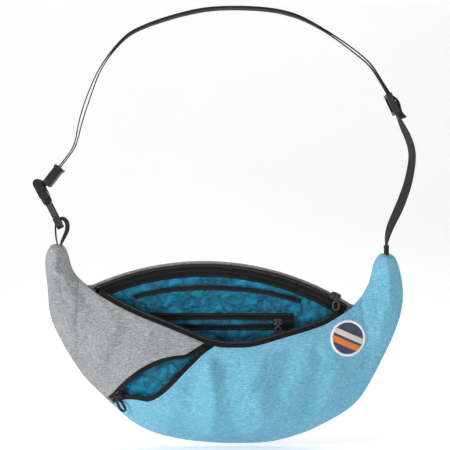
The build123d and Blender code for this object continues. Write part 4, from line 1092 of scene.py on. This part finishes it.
# main zip, back side; angles in degrees
TAPE_START, TAPE_STOP = ARC_LEFT + 1.2, ARC_RIGHT - 1.0
coil_span = (TAPE_START + 1.4, TAPE_STOP - 0.6)
strip("main_zip_tape_back", arc(BAND_R, TAPE_START, TAPE_STOP),
      arc(COIL_R, TAPE_START, TAPE_STOP), back_tape_y, columns=260, rows=18, ripple=0.12)
coil("main_zip_coil_back", arc(COIL_R, *coil_span), flat_at(-6.35), out=0.0, side=1,
     reach=0.7, **MAIN_COIL)
cord("main_zip_coil_cord_back",
     frames_on(arc(ARC_R - 4.8, *coil_span), flat_at(-6.45), step=2.0)[0], radius=0.45)


def binding_y(x, z):
    return slip_y(x, z) - 1.1


# binding folded over the slip pocket's edge
strip("slip_pocket_binding", offset_line(slip_top, -5.0), slip_top, binding_y, columns=150,
      rows=12, ripple=0.08, rounding=0.45, thickness=0.9, mat=BINDING)

# inner zip, gaping a little in its middle
ZIP_Z, ZIP_LEFT, ZIP_RIGHT = 31.9, -82.0, 70.0
inner_y = flat_at(PANEL_Y - LINING_T - 0.1 - TAPE_T - 0.35)
zip_upper = bowed(ZIP_LEFT, ZIP_RIGHT, ZIP_Z + 0.2, 2.2)
zip_lower = bowed(ZIP_LEFT, ZIP_RIGHT, ZIP_Z - 0.2, -2.8)
strip("inner_zip_tape_upper", zip_upper, bowed(ZIP_LEFT, ZIP_RIGHT, 40.6, 0.0), inner_y,
      columns=150)
strip("inner_zip_tape_lower", bowed(ZIP_LEFT, ZIP_RIGHT, 23.4, 0.0), zip_lower, inner_y,
      columns=150)
coil("inner_zip_coil_upper", zip_upper, inner_y, side=-1, **INNER_COIL)
coil("inner_zip_coil_lower", zip_lower, inner_y, side=1, **INNER_COIL)


# ================================================================ patch
def patch_disc():
    """Slightly domed embroidered disc with a flat underside."""
    sides, rows = 96, 30
    radii = np.linspace(0, 1, rows)
    radius = PATCH_R - 2.1
    verts = np.array([(PATCH_X + radius * q * math.cos(2 * math.pi * k / sides), 0,
                       PATCH_Z + radius * q * math.sin(2 * math.pi * k / sides))
                      for q in radii for k in range(sides)])
    shell = outer_y(verts[:, 0], verts[:, 2])
    share = np.repeat(radii, sides)
    satin = 0.10 * np.sin((verts[:, 0] * 0.9 + verts[:, 2] * 0.4) * 5.0)
    verts[:, 1] = shell - 1.1 - 0.55 * (1 - share ** 2) - satin * (1 - share ** 6)
    under = verts.copy()
    under[:, 1] = shell - 0.25
    faces = ring_faces(rows, sides)
    count = len(verts)
    faces += [tuple(count + i for i in reversed(f)) for f in faces]
    rim = (rows - 1) * sides
    for k in range(sides):
        here, after = rim + k, rim + (k + 1) % sides
        faces.append((here, after, count + after, count + here))
    obj = make("patch_disc", np.vstack([verts, under]), faces, PATCH)
    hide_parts("patch_disc")


def patch_border():
    """Overlocked rim, a ring whose thickness pulses with the thread."""
    count, sides = 720, 14
    around, section = np.meshgrid(np.linspace(0, 2 * np.pi, count, endpoint=False),
                                  np.linspace(0, 2 * np.pi, sides, endpoint=False),
                                  indexing="ij")
    thick = 1.25 * (0.84 + 0.16 * np.abs(np.sin(around * 45 + section * 0.5)))
    radius = PATCH_R - 1.35 + thick * np.cos(section)
    shell = outer_y(PATCH_X + (PATCH_R - 1.2) * np.cos(around),
                    PATCH_Z + (PATCH_R - 1.2) * np.sin(around))
    verts = np.stack([PATCH_X + radius * np.cos(around),
                      shell - 1.15 - thick * 0.85 * np.sin(section),
                      PATCH_Z + radius * np.sin(around)], -1).reshape(-1, 3)
    obj = make("patch_border", verts, ring_faces(count, sides, closed=True), PATCH_EDGE)
    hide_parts("patch_border")


patch_disc()
patch_border()


# ================================================================ stitching
def shell_face(x, z):
    return outer_y(x, z) - 0.18


def hem_face(x, z):
    return outer_y(x, z) + 0.15


mouth_row = offset_line(MOUTH_LINE, -2.4)
hem_row = offset_line(HEM_LINE, 3.0)
stitches("stitch_mouth_grey", [p for p in mouth_row if p[0] < -24], shell_face, GREY_THREAD)
stitches("stitch_mouth_blue", [p for p in mouth_row if p[0] > -4], shell_face, BLUE_THREAD)
stitches("stitch_pocket_grey", offset_line(grey_lip, 2.4)[1:-2], shell_face, GREY_THREAD)
stitches("stitch_pocket_blue", offset_line(blue_lip, -2.4)[1:-2], shell_face, BLUE_THREAD)
stitches("stitch_hem_grey", [p for p in hem_row if p[0] < -121 and p[1] < 100],
         hem_face, GREY_THREAD, out=0.12)
stitches("stitch_hem_blue",
         [p for p in hem_row if p[0] > -104 and not (p[0] > 150 and p[1] > 96)],
         hem_face, BLUE_THREAD, out=0.12)
stitches("stitch_hem_back", [p for p in hem_row if p[1] < 100], flat_at(0.12), GREY_THREAD,
         out=0.0)
for name, inset in (("stitch_tape_back_low", 1.6), ("stitch_tape_back_high", 6.4)):
    stitches(name, arc(BAND_R + inset, TAPE_START + 0.3, TAPE_STOP - 0.3), back_tape_y,
             DARK_THREAD, out=0.1)
stitches("stitch_binding", offset_line(slip_top, -3.8), binding_y, DARK_THREAD, out=0.06,
         length=2.0, pitch=2.7)
for name, z in (("stitch_inner_upper", 39.2), ("stitch_inner_lower", 25.0)):
    stitches(name, bowed(ZIP_LEFT + 1, ZIP_RIGHT - 1, z, 0.0), inner_y, DARK_THREAD, out=0.06)
stitches("stitch_inner_panel", bowed(-85, 73, 22.2, 0.0), flat_at(-4.7), TEAL_THREAD, out=0.0,
         pitch=3.4)
stitches("stitch_side_zigzag",
         [(-91.6 + (0.9 if i % 2 else -0.9), 42.0 + i * 1.35) for i in range(13)],
         flat_at(-4.3), DARK_THREAD, out=0.0, length=1.5, pitch=1.7, radius=0.25)
stitches("stitch_patch",
         [(PATCH_X + (PATCH_R + 0.1) * math.cos(a), PATCH_Z + (PATCH_R + 0.1) * math.sin(a))
          for a in np.linspace(0, 2 * np.pi, 80)],
         outer_y, PATCH_EDGE, length=1.6, pitch=2.4, radius=0.2)


# ================================================================ strap
def travel_and_right(path):
    travel = unit(np.gradient(path, axis=0))
    return travel, np.stack([travel[:, 1], -travel[:, 0]], 1)


def ribbon(name, path, width, thickness, lean, mat, y_mid, body=None, columns=15):
    """Flat woven band along a path. lean (radians) turns its face towards the front."""
    path = np.array(path, float)
    count = len(path)
    right = travel_and_right(path)[1]
    lean = np.broadcast_to(np.asarray(lean, float), (count,))
    across = np.stack([right[:, 0] * np.sin(lean), -np.cos(lean), right[:, 1] * np.sin(lean)], 1)
    facing = np.stack([right[:, 0] * np.cos(lean), np.sin(lean), right[:, 1] * np.cos(lean)], 1)
    centre = np.stack([path[:, 0], np.broadcast_to(np.asarray(y_mid, float), (count,)),
                       path[:, 1]], 1)
    widths = np.broadcast_to(np.asarray(width, float), (count,))
    full_width = float(widths.max())
    half, round_r = full_width / 2, thickness / 2
    # section stations, close together at the rounded selvedges
    section = np.concatenate([[-half, -half + 0.12, -half + 0.4, -half + 0.9],
                              np.linspace(-half + 1.8, half - 1.8, columns),
                              [half - 0.9, half - 0.4, half - 0.12, half]])
    inset = np.clip((np.abs(section) - (half - round_r)) / round_r, 0, 1)
    height = round_r * np.sqrt(np.clip(1 - inset ** 2, 0, 1))
    height = height * (1 - 0.16 * groove(np.abs(section), half - 1.6, 0.35))
    spread = section[None, :, None] * (widths / full_width)[:, None, None]
    middle = centre[:, None, :] + across[:, None, :] * spread
    raised = facing[:, None, :] * height[None, :, None]
    size = len(section)
    uv = np.stack([np.broadcast_to((running_length(path) * MM)[:, None], (count, size)),
                   np.broadcast_to(((section + half) * MM)[None, :], (count, size))], -1)
    top = np.arange(count * size).reshape(count, size)
    bottom = top + count * size
    bottom[:, 0], bottom[:, -1] = top[:, 0], top[:, -1]
    faces = np.vstack([quads(top), quads(bottom)[:, ::-1]]).tolist()
    for row in (0, count - 1):
        cap = top[row].tolist() + bottom[row, size - 2:0:-1].tolist()
        faces.append(cap[::-1] if row else cap)
    verts = np.vstack([(middle + raised).reshape(-1, 3), (middle - raised).reshape(-1, 3)])
    obj = make(name, verts, faces, mat, body, np.vstack([uv.reshape(-1, 2)] * 2))
    work = bmesh.new()
    work.from_mesh(obj.data)
    loose = [v for v in work.verts if not v.link_faces]
    bmesh.ops.delete(work, geom=loose, context="VERTS")
    bmesh.ops.recalc_face_normals(work, faces=work.faces)
    work.to_mesh(obj.data)
    work.free()
    return obj


def between(start, end, t):
    return (start[0] + (end[0] - start[0]) * t, start[1] + (end[1] - start[1]) * t)


# adjuster on the right run: its axis points up the strap, its outward axis away from the loop
ADJUSTER_LOW, ADJUSTER_HIGH = (184.5, 214.4), (163.1, 260.0)
adjuster_length = math.dist(ADJUSTER_LOW, ADJUSTER_HIGH)
ADJUSTER_AXIS = ((ADJUSTER_HIGH[0] - ADJUSTER_LOW[0]) / adjuster_length,
                 (ADJUSTER_HIGH[1] - ADJUSTER_LOW[1]) / adjuster_length)
ADJUSTER_OUT = (ADJUSTER_AXIS[1], -ADJUSTER_AXIS[0])
ADJUSTER = (ADJUSTER_HIGH[0] - ADJUSTER_AXIS[0] * 11.5, ADJUSTER_HIGH[1] - ADJUSTER_AXIS[1] * 11.5)
KEEPER_LOW, KEEPER_HIGH = (-177.6, 168.6), (-153.4, 199.6)
BAR = (-183.6, 166.6)                       # the strap folds round this point on the left
FOLD_R = 3.25
TIP_Y, TIP_W = -4.6, 6.5                    # the strap where it is gathered at the right tip
RIGHT_RUN = [(162.6, 108.6), (162.9, 114.0), (164.4, 122.0), (167.6, 130.6), (173.1, 142.5),
             (178.2, 154.5), (183.4, 169.5), (187.0, 187.0), (187.8, 201.5)]
OVER_TOP = [(152.6, 277.6), (143.6, 289.6), (128.0, 302.4), (109.3, 316.4), (101.4, 321.7),
            (87.1, 330.0), (72.7, 336.6), (58.4, 340.8), (44.0, 343.2), (22.5, 344.8),
            (1.0, 344.9), (-16.0, 343.7), (-30.3, 341.3), (-44.6, 337.9), (-59.0, 333.6),
            (-73.3, 328.8), (-86.0, 323.4), (-94.9, 318.2), (-102.4, 311.6), (-109.2, 304.2),
            (-115.0, 296.8), (-119.8, 289.4), (-124.6, 280.6), (-128.6, 271.0),
            (-132.2, 260.6), (-137.4, 245.0), (-142.0, 230.2), (-145.4, 217.4),
            (-148.6, 207.4)]
TIP_LOOP = [(-166.6, 106.0), (-167.4, 110.0), (-168.1, 116.0), (-168.3, 123.0),
            (-168.2, 129.0), (-167.2, 133.0), (-163.4, 135.8), (-159.0, 134.4),
            (-156.5, 130.0), (-156.9, 123.5), (-159.8, 117.4), (-163.2, 111.0), (-164.6, 106.0)]
# turn of the band's face seen from the front (radians) over z, on the right and left runs
LEAN_RIGHT = ([98, 106, 112, 124, 144, 164, 198, 218, 229, 235, 240, 262, 300, 318, 330, 338, 345],
              [0.05, 0.12, 0.22, 0.46, 0.62, 0.57, 0.47, 0.44, 0.38, 0.16, 0.10, 0.08, 0.02,
               0.03, 0.09, 0.14, 0.16])
LEAN_LEFT = ([160, 290, 300, 312, 320, 335, 345], [0.0, 0.0, 0.02, 0.06, 0.12, 0.14, 0.16])
VIEW_DISTANCE = 1573.0


def lean_at(path):
    """Lean along the path: the turn seen from the front, less what the view's angle adds."""
    path = np.asarray(path, float)
    x, z = path[:, 0], path[:, 1]
    out = travel_and_right(path)[1]
    out *= np.sign((out * (path - [0, 200.0])).sum(1, keepdims=True))
    view = (out[:, 0] * x + out[:, 1] * (z - EYE_Z)) / VIEW_DISTANCE
    seen = np.where(x > 0, np.interp(z, *LEAN_RIGHT), np.interp(z, *LEAN_LEFT))
    return (seen - view) * smooth((np.hypot(x - BAR[0], z - BAR[1]) - 4.5) / 9.0)


def outer_layer(first_run, split):
    """The returning layer outside the first, bowed away where the two part."""
    layer = offset_line(first_run, -(WEB_T + 0.3))[split + 2:]
    bowed_layer = []
    for i, (x, z) in enumerate(layer):
        bow = 2.3 * math.exp(-((z - 246.0) / 30.0) ** 2) if x < -100 else 0.0
        bow += 1.3 * math.exp(-((x - 130.0) / 20.0) ** 2) if x > 90 else 0.0
        before, after = layer[max(i - 1, 0)], layer[min(i + 1, len(layer) - 1)]
        gap = math.dist(before, after)
        bowed_layer.append((x + (after[1] - before[1]) / gap * bow,
                            z - (after[0] - before[0]) / gap * bow))
    return resample(spline(bowed_layer, 2.0), 1.8)


def bar_fold():
    base = math.atan2(BAR[1] - KEEPER_LOW[1], BAR[0] - KEEPER_LOW[0])
    start, stop = base + math.radians(112), base - math.radians(112)
    angles = [start + (stop - start) * i / 16 for i in range(17)]
    return resample([(BAR[0] + FOLD_R * math.cos(a), BAR[1] + FOLD_R * math.sin(a))
                     for a in angles], 0.7)


right_side = RIGHT_RUN + [between(ADJUSTER_LOW, ADJUSTER_HIGH, t)
                          for t in (0.0, 0.25, 0.5, 0.75, 1.0)]
left_side = [between(KEEPER_HIGH, KEEPER_LOW, t) for t in (0.0, 0.33, 0.66, 1.0)]
first_run = spline(right_side + OVER_TOP + left_side, 4.0)
outer_path = outer_layer(first_run, len(spline(right_side, 4.0)) - 1)
CUT = 30                                    # from this outer point down, the return end goes on


def tip_share(z):
    """0 at the gathered right tip, 1 where the strap has its full width."""
    return smooth((z - 101.0) / 22.0)


def tip_y(share, start=TIP_Y):
    return start + (STRAP_Y - start) * share


def tip_width(share, start=TIP_W):
    return start + (WEB_W - TIP_W) * np.sqrt(share)


def strap():
    """Webbing up the right, over the top, round the bar and back to the adjuster."""
    inner = np.vstack([[(163.2, 97.5), (163.0, 101.0), (162.8, 104.5)],
                       resample(spline(first_run, 2.0), 1.8)])
    fold = bar_fold()
    path = np.vstack([inner[:-1], fold[1:-1], outer_path[CUT:][::-1]])
    keep = [0]
    for i in range(1, len(path)):
        if np.hypot(*(path[i] - path[keep[-1]])) > 0.35:
            keep.append(i)
    path = path[keep]
    # the return layer runs the other way, so its lean has the opposite sign
    sign = np.where(np.arange(len(path)) < len(inner) + len(fold) // 2, 1.0, -1.0)
    lean = np.convolve(np.pad(lean_at(path) * sign, 4, mode="edge"), np.ones(9) / 9, mode="valid")
    # slight sway, away from the adjuster and the bar
    length = running_length(path)
    sway = 0.25 * np.sin(length / 17.0) + 0.12 * np.sin(length / 7.3 + 1.0)
    free = np.minimum(np.hypot(path[:, 0] - ADJUSTER[0], path[:, 1] - ADJUSTER[1]) / 30,
                      np.minimum(np.hypot(path[:, 0] - BAR[0], path[:, 1] - BAR[1]) / 60, 1.0))
    right = travel_and_right(path)[1]
    path = path + right * (sway * smooth(free - 0.4) * sign * 0.5)[:, None]
    share = tip_share(path[:, 1]) * (path[:, 0] > 0) + (path[:, 0] <= 0)
    obj = ribbon("strap_webbing", path, tip_width(share), WEB_T, lean, WEBBING, tip_y(share))
    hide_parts("strap_webbing")
    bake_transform(obj)
    # read back the webbing's vertex places in mm; nothing further is done with them
    places = np.zeros(len(obj.data.vertices) * 3, np.float32)
    obj.data.vertices.foreach_get("co", places)
    places = places.reshape(-1, 3) / MM


def at_adjuster(points):
    """(along, outward) places at the adjuster in front-view coordinates."""
    return [(ADJUSTER[0] + a * ADJUSTER_AXIS[0] + b * ADJUSTER_OUT[0],
             ADJUSTER[1] + a * ADJUSTER_AXIS[1] + b * ADJUSTER_OUT[1]) for a, b in points]


def strap_return():
    """The returning layer outside the adjuster; the stitches at its lower end ride on the adjuster.
    """
    low_end = at_adjuster([(-17.6, 6.6), (-14.5, 5.5), (-10.0, 4.95), (-5.0, 6.0),
                           (-1.0, 6.55), (3.0, 5.9), (8.0, 3.2), (13.0, 2.0)])
    path = resample(spline(low_end + [tuple(q) for q in outer_path[4:CUT + 2]], 1.2), 1.5)
    obj = ribbon("strap_return_end", path, WEB_W, WEB_T, lean_at(path), WEBBING, STRAP_Y)
    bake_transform(obj)
    origins = []
    for i in range(6):
        for x, z in at_adjuster([(-13.5, 5.55), (-10.8, 5.55)]):
            origins.append((x, STRAP_Y - 5 + 2 * i, z))
    cross_stitches("stitch_strap_end", origins, [ADJUSTER_AXIS[0], 0, ADJUSTER_AXIS[1]],
                   [ADJUSTER_OUT[0], 0, ADJUSTER_OUT[1]], "adjuster")


def strap_end_loop():
    """End of the webbing, folded back at the adjuster."""
    angles = [math.radians(-75 + 225 * i / 12) for i in range(13)]
    fold = [(-1.0 + 1.95 * math.cos(a), 3.2 + 1.95 * math.sin(a)) for a in angles]
    line = spline([(-17.4, 3.9), (-14.5, 2.8), (-10.0, 2.0), (-5.0, 1.55)] + fold
                  + [(-5.5, 4.6), (-10.0, 3.7), (-14.5, 4.15), (-17.4, 5.3)], 0.8)
    obj = ribbon("strap_end_loop", at_adjuster(line), WEB_W, 0.95, 0.0, WEBBING_FACE, STRAP_Y,
                 "adjuster")
    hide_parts("strap_end_loop")


def tip_loop():
    """Narrow loop at the left tip that holds the hook."""
    path = resample(spline(TIP_LOOP, 1.5), 0.9)
    rise = smooth((path[:, 1] - 108.0) / 16.0)
    share = np.linspace(0, 1, len(path))
    lean = 0.42 * smooth((share - 0.40) / 0.12) * smooth((1.02 - share) / 0.15)
    obj = ribbon("tip_loop_left", path, 4.5 + 3.5 * rise, 1.1, lean, WEBBING_FACE,
                 tip_y(rise, start=-3.4), columns=9)
    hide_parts("tip_loop_left")
    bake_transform(obj)


def strap_tab():
    """Gathered and wrapped end of the strap at the right tip."""
    wrap_width = 6.9
    path = resample([(163.1, 99.5), (162.9, 104.0), (162.7, 108.8)], 0.8)
    share = tip_share(path[:, 1])
    obj = ribbon("strap_tab_right", path, tip_width(share, wrap_width), 4.4, 0.10,
                 WEBBING_FACE, tip_y(share), "bag", columns=11)
    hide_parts("strap_tab_right")
    origins = []
    for z in (104.6, 107.4):
        share = float(tip_share(z))
        for i in range(5):
            y = tip_y(share) + tip_width(share, wrap_width) * (i - 2) * 0.19
            origins += [(162.8 - 2.2, y, z), (162.8 + 2.2, y, z)]
    cross_stitches("stitch_tab", origins, [0.0, 0.0, 1.0], [1.0, 0.0, 0.0])


strap()
strap_return()
strap_end_loop()
tip_loop()
strap_tab()

# ================================================================ hard parts
# they keep their CAD shape, with small rounded edges: material, edge width (metres), parts
HARD_PARTS = [
    (METAL, 0.00022, ["main_zip_slider", "main_zip_pull", "front_zip_slider", "front_zip_pull",
                      "inner_zip_slider", "inner_zip_pull", "zip_end_stops"]),
    (PLASTIC, 0.0006, ["strap_adjuster", "strap_keeper", "snap_hook_head", "snap_hook_body"]),
    (GATE_HIGHLIGHT, 0.0006, ["snap_hook_gate"])]
for mat, edge_width, names in HARD_PARTS:
    for name in names:
        part = frame["nodes"][name]
        part.data.materials.clear()
        part.data.materials.append(mat)
        part.modifiers.new("weld", "WELD").merge_threshold = 0.00001
        bevel = part.modifiers.new("round", "BEVEL")
        bevel.width = edge_width
        bevel.segments = 3
        bevel.limit_method = "ANGLE"
        bevel.angle_limit = math.radians(32)
        bevel.harden_normals = False
        part.modifiers.new("wn", "WEIGHTED_NORMAL").keep_sharp = False
        part.data.polygons.foreach_set("use_smooth", [True] * len(part.data.polygons))


# ================================================================ studio, in metres
def area_light(name, location, target, size, power):
    light = bpy.data.lights.new(name, "AREA")
    light.shape = "RECTANGLE"
    light.size, light.size_y = size
    light.energy = power
    obj = bpy.data.objects.new(name, light)
    scene.collection.objects.link(obj)
    obj.location = location
    obj.rotation_mode = "QUATERNION"
    obj.rotation_quaternion = (Vector(target) - Vector(location)).to_track_quat("-Z", "Y")


def white_world():
    """White surroundings that look brighter to the camera than they light the bag."""
    world = bpy.data.worlds.new("studio")
    scene.world = world
    world.use_nodes = True
    nodes = Nodes(world.node_tree)
    camera_ray = nodes.add("LightPath").outputs["Is Camera Ray"]
    seen = nodes.math("MULTIPLY", camera_ray, 0.55)
    background = world.node_tree.nodes["Background"].inputs
    nodes.feed(background["Strength"], nodes.math("ADD", seen, 0.30))
    background["Color"].default_value = (1, 1, 1, 1)


def studio_floor():
    """Pale floor that curves up behind into a backdrop."""
    floor_z, bend_y, bend_r = -0.0925, 0.9, 1.1
    profile = [(-9.0, floor_z), (bend_y, floor_z)]
    profile += [(bend_y + bend_r * math.sin(a), floor_z + bend_r - bend_r * math.cos(a))
                for a in np.linspace(0.1, math.pi / 2, 14)]
    profile.append((2.0, 7.0))
    verts = [(x, y, z) for y, z in profile for x in (-9.0, 9.0)]
    faces = [(2 * i, 2 * i + 1, 2 * i + 3, 2 * i + 2) for i in range(len(profile) - 1)]
    paint = Surface("floor", roughness=0.9, specular=0.1)
    tone = paint.ramp(paint.noise(paint.place, scale=3.0), [(0.3, 0.86), (0.7, 0.88)])
    paint.shade({"Base Color": tone, "Emission Color": (1, 1, 1, 1), "Emission Strength": 0.36})
    mesh = bpy.data.meshes.new("floor")
    mesh.from_pydata(verts, [], faces)
    mesh.materials.append(paint.material)
    mesh.polygons.foreach_set("use_smooth", [True] * len(mesh.polygons))
    floor = bpy.data.objects.new("floor", mesh)
    scene.collection.objects.link(floor)


def front_camera():
    data = bpy.data.cameras.new("camera")
    data.sensor_width = 36
    data.lens = 126.0
    data.clip_start, data.clip_end = 0.05, 30
    camera = bpy.data.objects.new("camera", data)
    scene.collection.objects.link(camera)
    camera.location = (0.001, -1.585, EYE_Z * MM)
    camera.rotation_euler = (math.pi / 2, 0, 0)
    scene.camera = camera


area_light("key", location=(-1.55, -0.95, 0.35), target=(0, 0, 0.0), size=(0.45, 0.45), power=20)
area_light("fill", location=(0.9, -1.5, 0.15), target=(0, 0, 0.05), size=(1.0, 1.0), power=4.2)
area_light("low", location=(0.0, -1.2, -0.03), target=(0, 0, -0.02), size=(1.4, 0.10), power=3.4)
area_light("top", location=(0.1, -0.3, 1.5), target=(0, 0, 0.1), size=(1.0, 0.8), power=4.5)
area_light("rim", location=(0.5, 0.9, 0.9), target=(0, 0, 0.15), size=(0.8, 0.5), power=2.5)
white_world()
studio_floor()
front_camera()
scene.view_settings.view_transform = "Standard"
